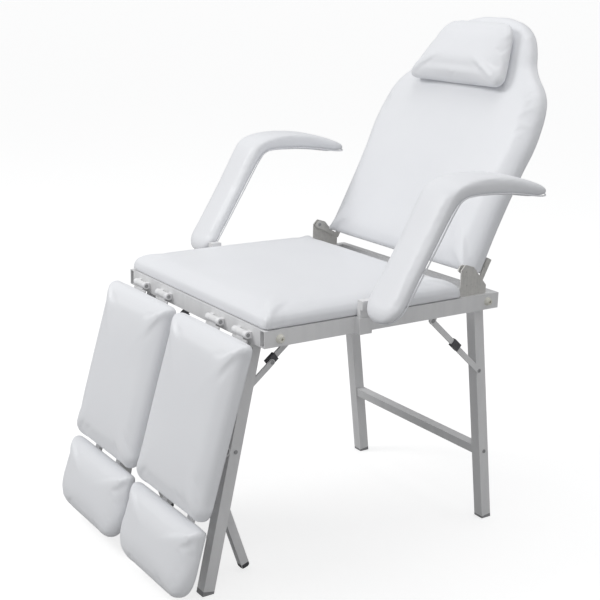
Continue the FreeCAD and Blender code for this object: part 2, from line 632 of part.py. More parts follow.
def fixed_plate(side, mirror):
    """The plate welded on a side rail's top, with the pivot's boss."""
    y, z = "back_pivot_setback", "back_pivot_height"
    outline = [(f"{y} - boss_radius", "frame_top"), ("rear_pivot_setback", "frame_top"),
               ("rear_pivot_setback", "frame_top + plate_rear_rise"),
               (f"{y} + plate_shoulder_reach", f"{z} + plate_shoulder_rise"),
               (f"{y}", f"{z} + boss_radius"), (f"{y} - boss_radius", z)]
    body(f"back_hinge_plate_{side}", SEAT,
         pad("side", outline, "fixed_plate_face", "fixed_plate_face + plate_thick",
             {3: "plate_thick * 2", 4: "plate_thick", 5: "plate_thick"}), mirror=mirror)


def moving_plate(side, mirror):
    """The arm that turns on the pin, passes under the pad and holds the board's rear."""
    deep = "(back_board_rear + arm_depth)"
    outline = [("0 - eye_radius", "0 - arm_lip"), (deep, "0 - arm_lip"), (deep, "arm_rise"),
               ("back_board_rear", "arm_rise"), ("back_board_rear", "back_bottom - flange_lap"),
               ("0 - eye_radius", "back_bottom - flange_lap")]
    eye = ("circle", "0", "0", "eye_radius")
    bore = ("circle", "0", "0", "hinge_pin_radius + pin_play")
    flange = rect("back_board_rear", "flange_rise",
                  "back_board_rear + plate_thick", "arm_rise")
    body(f"back_arm_{side}", BACK,
         pad("side", outline, "arm_plate_face", "arm_plate_face + plate_thick"),
         pad("side", eye, "arm_plate_face", "arm_plate_face + plate_thick"),
         pad("side", flange, "arm_plate_face - arm_flange", "arm_plate_face + flange_lap"),
         pocket("side", bore, "arm_plate_face", "arm_plate_face + plate_thick"),
         mirror=mirror)


def pillow():
    """Wedge-shaped head pillow that lies on the back pad."""
    rear = "(back_face - pillow_gap)"
    outline = [("0 - pillow_half_bottom", "pillow_bottom"), ("pillow_half_bottom", "pillow_bottom"),
               ("pillow_half_top", "pillow_bottom + pillow_height"),
               ("0 - pillow_half_top", "pillow_bottom + pillow_height")]
    slope = [(f"{rear} - pillow_thick", "pillow_bottom + pillow_slope_start"),
             (f"{rear} - pillow_thick", "pillow_bottom + pillow_height"),
             (f"{rear} - pillow_top_thick", "pillow_bottom + pillow_height")]
    body("pillow", BACK,
         pad("front", outline, f"{rear} - pillow_thick", rear, "pillow_round"),
         pocket("side", slope, "0 - pillow_half_bottom", "pillow_half_bottom"))


# ---------------------------------------------------------------- leg rests
def leg_rests():
    """Two leg rests, each with its board, hinge leaves, guides and pull-out foot pad."""
    lugs, pins = [], []
    for side, mirror in BOTH:
        front, rear = "0 - rest_face", "(rest_back - board_thick)"
        outline = rect("rest_inner", "0 - rest_end", "rest_outer", "0 - rest_start")
        body(f"leg_rest_pad_{side}", REST,
             pad("front", outline, front, rear, {0: "rest_round", 1: "rest_round",
                                                 2: "pad_round", 3: "pad_round"}),
             mirror=mirror)
        board = rect("rest_inner + 2 * board_inset", "0 - rest_end + 2 * board_inset",
                     "rest_outer - 2 * board_inset", "0 - rest_start - board_inset")
        body(f"leg_rest_board_{side}", REST, pad("front", board, rear, "rest_back"),
             mirror=mirror)
        rest_frame(side, mirror)
        foot_rest(side, mirror)
        for bar in ("inner_bar_place", "outer_bar_place"):
            sign = -1 if mirror else 1
            reach = "(knuckle_mid / 2 + knuckle_gap + knuckle_side)"
            pins.append(rod(f"rest_pin_{len(pins)}", "hinge_pin_radius", f"2 * {reach}",
                            f"{sign} * {bar} - {reach}", "rest_pivot_y", "rest_pivot_z", 1))
            for start in (f"{bar} - {reach}", f"{bar} + knuckle_mid / 2 + knuckle_gap"):
                lugs.append(fixed_knuckle(len(lugs), start, mirror))
    group("leg_rest_hinge_lugs", lugs)
    return pins


def fixed_knuckle(number, start, mirror):
    """A lug welded on the front rail's face, with an eye for the leg rest's pin."""
    end = f"{start} + knuckle_side"
    eye = ("circle", "0 - rest_pivot_reach", "rest_pivot_z", "knuckle_radius")
    web = rect("0 - rest_pivot_reach", "rest_pivot_z - knuckle_web",
               "0", "rest_pivot_z + knuckle_web")
    bore = ("circle", "0 - rest_pivot_reach", "rest_pivot_z", "hinge_pin_radius")
    return body(f"rest_knuckle_{number}", SEAT, pad("side", eye, start, end),
                pad("side", web, start, end), pocket("side", bore, start, end),
                mirror=mirror, keep=False)


def rest_frame(side, mirror):
    """Hinge leaves with their middle knuckles, and the guides behind the board."""
    pieces = []
    for number, bar in enumerate(("inner_bar_place", "outer_bar_place")):
        half = "knuckle_mid / 2"
        eye = ("circle", "0", "0", "knuckle_radius")
        bore = ("circle", "0", "0", "hinge_pin_radius + pin_play")
        neck = rect("0 - leaf_thick / 2", "0 - guide_start", "leaf_thick / 2", "0")
        leaf = rect("0 - leaf_thick / 2", "0 - leaf_length",
                    "leaf_thick / 2", "0 - leaf_start")
        pieces.append(body(f"rest_leaf_{side}_{number}", REST,
                           pad("side", eye, f"{bar} - {half}", f"{bar} + {half}"),
                           pad("side", neck, f"{bar} - {half}", f"{bar} + {half}"),
                           pad("side", leaf, f"{bar} - leaf_width / 2", f"{bar} + leaf_width / 2"),
                           pocket("side", bore, f"{bar} - {half}", f"{bar} + {half}"),
                           mirror=mirror, keep=False))
        pieces.append(guide_tube(f"rest_guide_{side}_{number}", bar, mirror))
    for number, near in enumerate(("prop_place + lug_gap",
                                   "prop_place - lug_gap - ear_thick")):
        top, low = "(0 - prop_drop + ear_radius)", "(0 - prop_drop - ear_radius)"
        web = [("rest_back", f"{low} - ear_radius"), ("lug_side + ear_radius", low),
               ("lug_side + ear_radius", top), ("rest_back", f"{top} + ear_radius")]
        pieces.append(body(f"prop_lug_{side}_{number}", REST,
                           pad("side", web, near, f"{near} + ear_thick",
                               {1: "lug_round", 2: "lug_round"}),
                           mirror=mirror, keep=False))
    group(f"leg_rest_frame_{side}", pieces)


def guide_tube(label, bar, mirror):
    """A flat tube behind the board, in which a foot pad's bar slides."""
    near, far = "rest_back", "(rest_back + guide_depth)"
    outer = rect(f"{bar} - guide_width / 2", near, f"{bar} + guide_width / 2", far)
    inner = rect(f"{bar} - guide_width / 2 + tube_wall", f"{near} + tube_wall",
                 f"{bar} + guide_width / 2 - tube_wall", f"{far} - tube_wall")
    return body(label, REST,
                pad("top", outer, "0 - guide_start - guide_length", "0 - guide_start", None,
                    [inner]), mirror=mirror, keep=False)


def foot_rest(side, mirror):
    """The foot pad and the two flat bars that carry it in the guides."""
    outline = [("rest_inner + foot_taper", "0 - foot_end"),
               ("rest_outer - foot_taper", "0 - foot_end"),
               ("rest_outer - foot_side_gap", "0 - foot_start"),
               ("rest_inner + foot_side_gap", "0 - foot_start")]
    body(f"foot_pad_{side}", REST,
         pad("front", outline, "0 - rest_face", "rest_back",
             {0: "foot_round", 1: "foot_round", 2: "pad_round", 3: "pad_round"}),
         mirror=mirror)
    bars = []
    for number, bar in enumerate(("inner_bar_place", "outer_bar_place")):
        half = "(guide_width / 2 - tube_wall - slide_play)"
        near = "(rest_back + tube_wall + slide_play)"
        far = "(rest_back + guide_depth - tube_wall - slide_play)"
        strip = rect(f"{bar} - {half}", near, f"{bar} + {half}", far)
        shoe = rect(f"{bar} - {half}", "rest_back", f"{bar} + {half}", far)
        foot = "(0 - foot_end + foot_round)"
        bars.append(body(f"foot_bar_{side}_{number}", REST,
                         pad("top", strip, foot, "0 - slide_start"),
                         pad("top", shoe, foot, "0 - foot_start - pad_round"),
                         mirror=mirror, keep=False))
    group(f"foot_slides_{side}", bars)


# ---------------------------------------------------------------- props
def props():
    """Each leg rest's prop slides in a sleeve that turns between the cross tube's ears."""
    half = "prop_size / 2"
    for side, mirror in BOTH:
        wide = "(prop_size / 2 + sleeve_play)"
        outer = rect("prop_place - sleeve_half", "0 - sleeve_half",
                     "prop_place + sleeve_half", "sleeve_half")
        inner = rect(f"prop_place - {wide}", f"0 - {wide}", f"prop_place + {wide}", wide)
        body(f"prop_sleeve_{side}", PROP,
             pad("top", outer, "0 - sleeve_length / 2", "sleeve_length / 2", None, [inner]),
             mirror=mirror)
        square_tube(f"prop_{side}", PROP, ("prop_place", "0"), half, half,
                    "sleeve_drop - prop_length", "sleeve_drop", "top", "tube_wall",
                    mirror=mirror)


# ---------------------------------------------------------------- armrests
def armrests():
    """Bent, padded armrests on flat stems that drop into sockets on the side rails."""
    outline = [(f"arm_setback + arm_{corner}_run", f"frame_top + arm_{corner}_rise")
               for corner in ARM_CORNERS]
    names = list(ARM_CORNERS)
    rounds = {names.index("toe"): "arm_round", names.index("bend"): "arm_bend_round",
              names.index("heel"): "arm_round"}
    sockets = []
    for side, mirror in BOTH:
        body(f"armrest_pad_{side}", SEAT,
             pad("side", outline, "arm_inner", "arm_inner + arm_width", rounds),
             mirror=mirror)
        stem = rect("stem_near", "stem_setback", "stem_far", "stem_setback + stem_width")
        boss = rect("stem_far", "stem_setback", "arm_inner", "stem_setback + stem_width")
        body(f"armrest_stem_{side}", SEAT,
             pad("top", stem, "frame_top - stem_drop", "stem_top"),
             pad("top", boss, "stem_top - stem_boss_height", "stem_top"), mirror=mirror)
        hole = rect("stem_near - socket_play", "stem_setback - socket_play",
                    "stem_far + socket_play", "stem_setback + stem_width + socket_play")
        shell = rect("half_width", "stem_setback - socket_play - socket_wall",
                     "stem_far + socket_play + socket_wall",
                     "stem_setback + stem_width + socket_play + socket_wall")
        sockets.append(body(f"socket_{side}", SEAT,
                            pad("top", shell, "rail_bottom", "frame_top", None, [hole]),
                            mirror=mirror, keep=False))
    group("armrest_sockets", sockets)


# ---------------------------------------------------------------- build and write
seat_frame()
seat()
front_legs()
rear_legs()
braces()
back_pins = back()
pillow()
rest_pins = leg_rests()
group("hinge_pins", back_pins + rest_pins)
props()
armrests()
doc.recompute()

for thing in doc.Objects:
    if {"Invalid", "Error"} & set(thing.State):
        raise ValueError(f"{thing.Label} is in state {thing.State}")
for thing in kept:
    if thing.Shape.isNull() or not thing.Shape.isValid():
        raise ValueError(f"{thing.Label} has no valid shape")

os.makedirs("parts", exist_ok=True)
for thing in kept:
    thing.Shape.exportStep(f"parts/{thing.Label}.step")
    box = thing.Shape.BoundBox
    print(f"{thing.Label:24s} {len(thing.Shape.Solids)} {thing.Shape.Volume / 1000:8.1f} cm3",
          [round(number, 1) for number in (box.XMin, box.XMax, box.YMin, box.YMax,
                                           box.ZMin, box.ZMax)])
print(len(kept), "nodes")
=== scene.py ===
"""The finished look of a folding facial treatment bed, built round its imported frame.

Metres throughout.  X runs across the bed, +Y to the head end, Z up.
"""
import json
import math

import bpy
import numpy as np
from mathutils import Matrix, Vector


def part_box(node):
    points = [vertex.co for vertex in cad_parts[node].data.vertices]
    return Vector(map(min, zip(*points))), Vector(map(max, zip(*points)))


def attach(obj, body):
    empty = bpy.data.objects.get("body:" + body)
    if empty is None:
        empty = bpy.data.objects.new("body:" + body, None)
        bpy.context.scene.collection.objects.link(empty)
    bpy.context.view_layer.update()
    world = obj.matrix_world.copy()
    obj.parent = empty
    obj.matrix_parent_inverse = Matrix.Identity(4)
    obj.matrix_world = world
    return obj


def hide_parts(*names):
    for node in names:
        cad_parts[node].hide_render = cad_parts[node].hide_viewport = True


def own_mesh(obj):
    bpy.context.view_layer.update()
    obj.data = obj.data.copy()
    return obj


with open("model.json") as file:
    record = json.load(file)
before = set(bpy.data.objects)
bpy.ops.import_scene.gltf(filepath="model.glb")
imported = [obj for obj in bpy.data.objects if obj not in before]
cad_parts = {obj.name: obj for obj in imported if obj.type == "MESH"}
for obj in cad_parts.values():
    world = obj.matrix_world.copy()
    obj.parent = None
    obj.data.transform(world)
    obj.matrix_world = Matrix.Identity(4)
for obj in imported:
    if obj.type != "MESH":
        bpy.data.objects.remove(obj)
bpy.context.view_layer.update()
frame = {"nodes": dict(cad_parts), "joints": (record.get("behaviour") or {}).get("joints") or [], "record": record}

JOINTS = {joint["name"]: joint for joint in frame["joints"]}
SIDES = (("right", 1.0), ("left", -1.0))
ACROSS = np.array([1.0, 0.0, 0.0])

# ------------------------------------------------------------------ sizes of the covers
# Half widths of the back at heights above its hinge, from the lower edge to the crown.
BACK_HALF_WIDTHS = [(0.259, 0.001), (0.256, 0.110), (0.258, 0.215), (0.2635, 0.287),
                    (0.2590, 0.344), (0.246, 0.390), (0.224, 0.420), (0.196, 0.444),
                    (0.174, 0.468), (0.159, 0.500), (0.137, 0.533), (0.112, 0.554),
                    (0.081, 0.569), (0.041, 0.578)]
BACK_REAR = -0.0536
# The back's lower end: the depth of its face, how far the face reaches down and the rear is cut short,
# and the height over which both fade.
BACK_LIP_FACE, BACK_LIP_DROP, BACK_LIP_CUT, BACK_LIP_FADE = -0.0200, 0.0190, 0.0100, 0.120
SEAT_HALF, SEAT_ROUND = 0.2765, 0.018
SEAT_PAST_FRONT, SEAT_PAST_REAR = 0.004, 0.0055
PILLOW_HALF_LOW, PILLOW_HALF_TOP = 0.155, 0.106
PILLOW_LOW, PILLOW_TOP = 0.399, 0.546
PILLOW_REST = -0.0092
REST_FACE, REST_REAR = 0.0500, 0.0127
REST_INNER, REST_OUTER = 0.0070, 0.2825
REST_TOP, REST_END = -0.0085, -0.3585
FOOT_TOP, FOOT_END = -0.3650, -0.5145
ARM_HALF_WIDTH = 0.0495

# Middle line of an armrest seen from the side, as (y, z, half thickness), from the lower
# end, up the post and along the rest to its tip.
ARM_LINE = [(-0.0900, 0.5450, 0.0070), (-0.0800, 0.5630, 0.0100), (-0.0600, 0.5940, 0.0105),
            (-0.0010, 0.6905, 0.0110), (0.0400, 0.7600, 0.0130), (0.0600, 0.7830, 0.0155),
            (0.0900, 0.7915, 0.0170), (0.1420, 0.7920, 0.0175), (0.2020, 0.7870, 0.0165),
            (0.2640, 0.7750, 0.0130), (0.3130, 0.7630, 0.0050)]

# Lanes of the folding braces across the bed: leg's face, lower bar, upper bar, bracket.
FRONT_LANE = (0.1870, 0.1825, 0.1793, 0.1753, 0.1715)
REAR_LANE = (0.2390, 0.2435, 0.2467, 0.2507, 0.2545)
# The distance from a prop's sleeve to its lower end, and half its width.
PROP_BELOW_SLEEVE = 0.283
PROP_HALF = 0.009
REAR_LEG_LEAN = math.radians(7.64)
CROSSBAR_BEAD_HALF = 0.0102


# ------------------------------------------------------------------ places and frames
def pivot(joint):
    """A joint's point, in metres."""
    return np.array(JOINTS[joint]["pos_m"], float)


def direction(joint):
    """A joint's unit axis."""
    axis = np.array(JOINTS[joint]["axis"], float)
    return axis / np.linalg.norm(axis)


def panel_frame(origin, along):
    """Origin and directions of a panel: across, along it, and out of its face."""
    along = np.asarray(along, float)
    return np.asarray(origin, float), ACROSS, along, np.cross(ACROSS, along)


def to_world(points, panel):
    """Panel coordinates (across, along, out) as points of the bed."""
    origin, across, along, out = panel
    return origin + points[:, :1] * across + points[:, 1:2] * along + points[:, 2:3] * out


seat_low, seat_high = (np.array(corner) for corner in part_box("seat_pad"))
SEAT = panel_frame((0, 0, seat_low[2]), (0, 1, 0))
BACK = panel_frame(pivot("back_recline") * (0, 1, 1), direction("pillow_slide"))
REST = panel_frame(pivot("leg_rest_right_raise") * (0, 1, 1), -direction("foot_pad_right_slide"))


# ------------------------------------------------------------------ curves
def smooth_line(points, count):
    """A smooth line through points: between two of them each coordinate is the cubic whose
    slopes at both ends are half the step between the neighbours (Catmull-Rom)."""
    points = np.asarray(points, float)
    padded = np.vstack([2 * points[0] - points[1], points, 2 * points[-1] - points[-2]])
    place = np.linspace(0, len(points) - 1 - 1e-9, count)
    first = place.astype(int)
    t = (place - first)[:, None]
    a, b, c, d = (padded[first + shift] for shift in range(4))
    return 0.5 * (2 * b + (c - a) * t + (2 * a - 5 * b + 4 * c - d) * t ** 2
                  + (3 * b - a - 3 * c + d) * t ** 3)


def even_loop(points, count):
    """A closed loop through points, resampled to count points at equal steps of length."""
    closed = np.vstack([points, points[:1]])
    length = np.concatenate([[0], np.cumsum(np.linalg.norm(np.diff(closed, axis=0), axis=1))])
    place = np.linspace(0, length[-1], count, endpoint=False)
    return np.stack([np.interp(place, length, closed[:, axis]) for axis in range(2)], axis=1)


def rounded_loop(corners, radii, count=240, arc=10):
    """A closed outline with rounded corners.  Each corner C becomes the parabola from
    C + r a to C + r b that bends towards C, where a and b point to its neighbours."""
    corners = np.asarray(corners, float)
    reach = np.broadcast_to(np.asarray(radii, float), len(corners))[:, None]
    back, ahead = np.roll(corners, 1, axis=0) - corners, np.roll(corners, -1, axis=0) - corners
    start = corners + reach * back / np.linalg.norm(back, axis=1, keepdims=True)
    end = corners + reach * ahead / np.linalg.norm(ahead, axis=1, keepdims=True)
    t = np.linspace(0, 1, arc)[None, :, None]
    arcs = ((1 - t) ** 2 * start[:, None] + 2 * t * (1 - t) * corners[:, None]
            + t ** 2 * end[:, None])
    return even_loop(arcs.reshape(-1, 2), count)


def mirrored_loop(half, count=300):
    """A closed outline, the same on both sides, from (half width, height) points that run
    up its right side; it closes straight across below and smoothly over the crown."""
    right = smooth_line(half, 120)
    crown = smooth_line([half[-2], half[-1], (-half[-1][0], half[-1][1]),
                         (-half[-2][0], half[-2][1])], 60)[20:40]
    left = right[::-1] * (-1, 1)
    return even_loop(np.vstack([right, crown, left]), count)


def softened(values, passes):
    """A closed loop of values, each replaced passes times by the mean of its neighbours."""
    for _ in range(passes):
        values = 0.5 * values + 0.25 * (np.roll(values, 1, axis=0) + np.roll(values, -1, axis=0))
    return values


def inward(loop):
    """Unit normals that point into a counter-clockwise loop, softened at its corners."""
    run = softened(np.roll(loop, -1, axis=0) - np.roll(loop, 1, axis=0), 3)
    normal = np.stack([-run[:, 1], run[:, 0]], axis=1)
    return normal / np.linalg.norm(normal, axis=1, keepdims=True)


def inset_loop(loop, distance):
    """The loop moved inwards by a distance."""
    return loop + distance * inward(loop)


# ------------------------------------------------------------------ mesh makers
def make_piece(name, points, faces, material):
    """A mesh object at the origin from arrays of points and faces."""
    mesh = bpy.data.meshes.new(name)
    mesh.from_pydata(points.tolist(), [], [list(face) for face in faces])
    mesh.update()
    mesh.polygons.foreach_set("use_smooth", np.ones(len(mesh.polygons), bool))
    mesh.materials.append(material)
    piece = bpy.data.objects.new(name, mesh)
    bpy.context.scene.collection.objects.link(piece)
    return piece


def points_of(mesh):
    """A mesh's points as an array."""
    found = np.empty(len(mesh.vertices) * 3, np.float32)
    mesh.vertices.foreach_get("co", found)
    return found.reshape(-1, 3).astype(float)


def ring_faces(rings, count, closed_rings=False):
    """Quads between rings of count points; ring after ring, each joined to itself."""
    ring = np.arange(rings if closed_rings else rings - 1)[:, None]
    after = (ring + 1) % rings
    step = np.arange(count)[None, :]
    ahead = (step + 1) % count
    quads = np.stack([ring * count + step, ring * count + ahead,
                      after * count + ahead, after * count + step], axis=-1)
    return quads.reshape(-1, 4).tolist()


def capped(rings, low_pole, high_pole):
    """Points and faces of a closed skin: rings from low_pole to high_pole."""
    total, count = rings.shape[:2]
    points = np.vstack([rings.reshape(-1, 3), low_pole, high_pole])
    step = np.arange(count)
    ahead = (step + 1) % count
    low, high, last = total * count, total * count + 1, (total - 1) * count
    fans = (np.stack([np.full(count, low), ahead, step], axis=1).tolist()
            + np.stack([last + step, last + ahead, np.full(count, high)], axis=1).tolist())
    return points, ring_faces(total, count) + fans


def cover(loop, rim, crown, rings=10):
    """A cushion's closed skin over an outline.

    The back is flat at the first rim height.  The rim carries (inset, height) points round
    the outline along its inward normals.  The face rises from the last rim height by
    crown x (1 - share^3), where share is a ring's distance from the middle, 1 at the rim.
    """
    middle = (loop.max(axis=0) + loop.min(axis=0)) / 2
    shares = np.linspace(0, 1, rings + 1)[1:-1]
    shells = []
    first = inset_loop(loop, rim[0][0])
    for share in shares:
        shells.append(np.column_stack([middle + share * (first - middle),
                                       np.full(len(loop), rim[0][1])]))
    for inset, height in rim:
        shells.append(np.column_stack([inset_loop(loop, inset), np.full(len(loop), height)]))
    last = inset_loop(loop, rim[-1][0])
    for share in shares[::-1]:
        height = rim[-1][1] + crown * (1 - share ** 3)
        shells.append(np.column_stack([middle + share * (last - middle),
                                       np.full(len(loop), height)]))
    return capped(np.array(shells), np.append(middle, rim[0][1]),
                  np.append(middle, rim[-1][1] + crown))


def soft_rim(rear, face, tuck, round_in, round_down, steps=7):
    """(inset, height) points of a padded edge: it leaves the back tucked in by tuck, is
    full at mid height, and turns into the face on a quarter ellipse."""
    rise = np.linspace(0, 1, 5)[:-1]
    side = [(tuck * (1 - t) ** 2, rear + t * (face - round_down - rear)) for t in rise]
    turn = np.linspace(0, math.pi / 2, steps)
    return side + [(round_in * (1 - math.cos(a)), face - round_down + round_down * math.sin(a))
                   for a in turn]


def tube(line, radius, reference, sides=8, closed=True):
    """A round cord along a line: at each point a circle in the plane of two directions
    square to the line, the first of them nearest to the reference direction."""
    line = np.asarray(line, float)
    run = (np.roll(line, -1, axis=0) - np.roll(line, 1, axis=0)) if closed else np.gradient(
        line, axis=0)
    run = run / np.linalg.norm(run, axis=1, keepdims=True)
    reference = np.broadcast_to(np.asarray(reference, float), line.shape)
    first = reference - (reference * run).sum(axis=1, keepdims=True) * run
    first = first / np.linalg.norm(first, axis=1, keepdims=True)
    second = np.cross(run, first)
    turn = np.linspace(0, 2 * math.pi, sides, endpoint=False)
    radius = np.broadcast_to(np.asarray(radius, float), len(line))[:, None, None]
    rings = (line[:, None] + radius * (np.cos(turn)[None, :, None] * first[:, None]
                                       + np.sin(turn)[None, :, None] * second[:, None]))
    if closed:
        return rings.reshape(-1, 3), ring_faces(len(line), sides, closed_rings=True)
    return capped(rings, line[0], line[-1])


def turned(profile, centre, axis, sides=20):
    """A turned piece: (radius, height) points carried round an axis through a centre."""
    axis = np.asarray(axis, float) / np.linalg.norm(axis)
    helper = np.array([0.0, 0.0, 1.0]) if abs(axis[2]) < 0.9 else np.array([0.0, 1.0, 0.0])
    first = np.cross(helper, axis)
    first /= np.linalg.norm(first)
    second = np.cross(axis, first)
    turn = np.linspace(0, 2 * math.pi, sides, endpoint=False)[None, :, None]
    profile = np.asarray(profile, float)
    radius, height = profile[:, 0][:, None, None], profile[:, 1][:, None, None]
    rings = centre + height * axis + radius * (np.cos(turn) * first + np.sin(turn) * second)
    return capped(rings, centre + profile[0, 1] * axis, centre + profile[-1, 1] * axis)


def joined(parts):
    """Several (points, faces) as one."""
    points, faces, offset = [], [], 0
    for part_points, part_faces in parts:
        points.append(part_points)
        faces += [[index + offset for index in face] for face in part_faces]
        offset += len(part_points)
    return np.vstack(points), faces


def other_side(points, faces):
    """The same part on the other side of the bed, with its faces still outwards."""
    return points * (-1, 1, 1), [list(face)[::-1] for face in faces]


# ------------------------------------------------------------------ finishes
def new_finish(name, colour, roughness, metal=0.0, **constants):
    """A finish's node tree with its shader; what is the same all over is set on it."""
    material = bpy.data.materials.new(name)
    material.use_nodes = True
    nodes = material.node_tree.nodes
    shader = nodes["Principled BSDF"]
    shader.inputs["Base Color"].default_value = (*colour, 1)
    shader.inputs["Roughness"].default_value = roughness
    shader.inputs["Metallic"].default_value = metal
    for socket, amount in constants.items():
        shader.inputs[socket.replace("_", " ")].default_value = amount
    return material, nodes, material.node_tree.links, shader


def pattern(nodes, links, kind, scale, detail=2.0, stretch=(1, 1, 1)):
    """A noise or cell pattern on the piece's own coordinates; returns its value."""
    where = nodes.new("ShaderNodeTexCoord")
    mapping = nodes.new("ShaderNodeMapping")
    mapping.inputs["Scale"].default_value = stretch
    links.new(where.outputs["Object"], mapping.inputs["Vector"])
    if kind == "cells":
        texture = nodes.new("ShaderNodeTexVoronoi")
        texture.feature = "SMOOTH_F1"
        output = "Distance"
    else:
        texture = nodes.new("ShaderNodeTexNoise")
        texture.inputs["Detail"].default_value = detail
        output = "Fac"
    texture.inputs["Scale"].default_value = scale
    links.new(mapping.outputs["Vector"], texture.inputs["Vector"])
    return texture.outputs[output]


def shades(nodes, links, value, dark, light, low=0.3, high=0.7):
    """A value between low and high turned into a colour between two shades."""
    ramp = nodes.new("ShaderNodeValToRGB")
    ramp.color_ramp.elements[0].position, ramp.color_ramp.elements[1].position = low, high
    ramp.color_ramp.elements[0].color = (*dark, 1)
    ramp.color_ramp.elements[1].color = (*light, 1)
    links.new(value, ramp.inputs["Fac"])
    return ramp.outputs["Color"]


def spread(nodes, links, value, low, high):
    """A value turned into a range, such as a roughness from low to high."""
    remap = nodes.new("ShaderNodeMapRange")
    remap.inputs["To Min"].default_value, remap.inputs["To Max"].default_value = low, high
    links.new(value, remap.inputs["Value"])
    return remap.outputs["Result"]


def relief(nodes, links, shader, layers):
    """Bumps on top of one another; a layer is (value, strength, height in metres)."""
    before = None
    for value, strength, height in layers:
        bump = nodes.new("ShaderNodeBump")
        bump.inputs["Strength"].default_value = strength
        bump.inputs["Distance"].default_value = height
        links.new(value, bump.inputs["Height"])
        if before:
            links.new(before, bump.inputs["Normal"])
        before = bump.outputs["Normal"]
    links.new(before, shader.inputs["Normal"])


def mixed(nodes, links, value, first, second):
    """One colour over another, by a value."""
    mix = nodes.new("ShaderNodeMix")
    mix.data_type = "RGBA"
    links.new(value, mix.inputs["Factor"])
    links.new(first, mix.inputs["A"])
    links.new(second, mix.inputs["B"])
    return mix.outputs["Result"]


def vinyl_finish(name, light, dark):
    """White upholstery vinyl: fine leather grain, pores and a faint uneven sheen."""
    material, nodes, links, shader = new_finish(name, light, 0.45, Sheen_Weight=0.08,
                                                Coat_Weight=0.05, Coat_Roughness=0.35)
    grain = pattern(nodes, links, "cells", 820)
    creases = pattern(nodes, links, "noise", 260, 4)
    waves = pattern(nodes, links, "noise", 22, 2)
    clouds = shades(nodes, links, pattern(nodes, links, "noise", 5, 3), dark, light)
    pores = shades(nodes, links, grain, tuple(0.93 * c for c in light), light, 0.0, 0.35)
    links.new(mixed(nodes, links, spread(nodes, links, creases, 0.25, 0.55), clouds, pores),
              shader.inputs["Base Color"])
    links.new(spread(nodes, links, creases, 0.36, 0.54), shader.inputs["Roughness"])
    relief(nodes, links, shader, [(waves, 0.10, 0.002), (creases, 0.12, 0.0004),
                                  (grain, 0.22, 0.0003)])
    return material


def painted_steel(name, light, dark):
    """Powder-coated steel: orange peel, faint rub marks along the tubes."""
    material, nodes, links, shader = new_finish(name, light, 0.35, Coat_Weight=0.1,
                                                Coat_Roughness=0.25)
    peel = pattern(nodes, links, "noise", 900, 2)
    rubbed = pattern(nodes, links, "noise", 38, 6, (1, 1, 0.25))
    specks = pattern(nodes, links, "noise", 1700, 1)
    tone = shades(nodes, links, rubbed, dark, light, 0.25, 0.6)
    fleck = shades(nodes, links, specks, tuple(0.9 * c for c in light), light, 0.25, 0.4)
    links.new(mixed(nodes, links, spread(nodes, links, peel, 0.1, 0.4), tone, fleck),
              shader.inputs["Base Color"])
    links.new(spread(nodes, links, rubbed, 0.28, 0.46), shader.inputs["Roughness"])
    relief(nodes, links, shader, [(peel, 0.16, 0.0002)])
    return material


def zinc_plate(name, light, dark, metal=0.9, roughness=0.34):
    """Zinc-plated steel: crystal spangle and brushing along the piece."""
    material, nodes, links, shader = new_finish(name, light, roughness, metal)
    spangle = pattern(nodes, links, "cells", 160)
    brushed = pattern(nodes, links, "noise", 420, 3, (1, 1, 0.12))
    tone = shades(nodes, links, spangle, dark, light, 0.1, 0.7)
    streak = shades(nodes, links, brushed, dark, light)
    links.new(mixed(nodes, links, brushed, tone, streak), shader.inputs["Base Color"])
    links.new(spread(nodes, links, spangle, roughness - 0.08, roughness + 0.14),
              shader.inputs["Roughness"])
    relief(nodes, links, shader, [(brushed, 0.10, 0.0002)])
    return material


def moulded_plastic(name, light, dark):
    """Moulded plastic: fine spark texture and slight shade differences."""
    material, nodes, links, shader = new_finish(name, light, 0.5)
    spark = pattern(nodes, links, "noise", 1300, 2)
    flow = shades(nodes, links, pattern(nodes, links, "noise", 60, 3), dark, light)
    fleck = shades(nodes, links, spark, dark, light, 0.2, 0.5)
    links.new(mixed(nodes, links, spread(nodes, links, spark, 0.2, 0.5), flow, fleck),
              shader.inputs["Base Color"])
    links.new(spread(nodes, links, spark, 0.42, 0.6), shader.inputs["Roughness"])
    relief(nodes, links, shader, [(spark, 0.2, 0.00015)])
    return material


def backing_cloth(name, light, dark):
    """Bonded backing cloth: a grid of tiny pressed dots over tangled fibres."""
    material, nodes, links, shader = new_finish(name, light, 0.85, Sheen_Weight=0.3)
    fibres = pattern(nodes, links, "noise", 620, 6)
    dots = pattern(nodes, links, "cells", 420)
    tone = shades(nodes, links, fibres, dark, light)
    links.new(mixed(nodes, links, spread(nodes, links, dots, 0, 0.5), tone,
                    shades(nodes, links, dots, dark, light, 0.1, 0.5)),
              shader.inputs["Base Color"])
    links.new(spread(nodes, links, fibres, 0.78, 0.95), shader.inputs["Roughness"])
    relief(nodes, links, shader, [(dots, 0.3, 0.0003), (fibres, 0.3, 0.0002)])
    return material


def birch_plywood(name, light, dark):
    """Birch plywood: long grain with fine pores."""
    material, nodes, links, shader = new_finish(name, light, 0.6)
    grain = pattern(nodes, links, "noise", 30, 6, (1, 6, 1))
    pores = pattern(nodes, links, "noise", 300, 3, (1, 8, 1))
    tone = shades(nodes, links, grain, dark, light)
    links.new(mixed(nodes, links, spread(nodes, links, pores, 0, 0.5), tone,
                    shades(nodes, links, pores, dark, light)), shader.inputs["Base Color"])
    links.new(spread(nodes, links, pores, 0.5, 0.75), shader.inputs["Roughness"])
    relief(nodes, links, shader, [(pores, 0.2, 0.0002)])
    return material


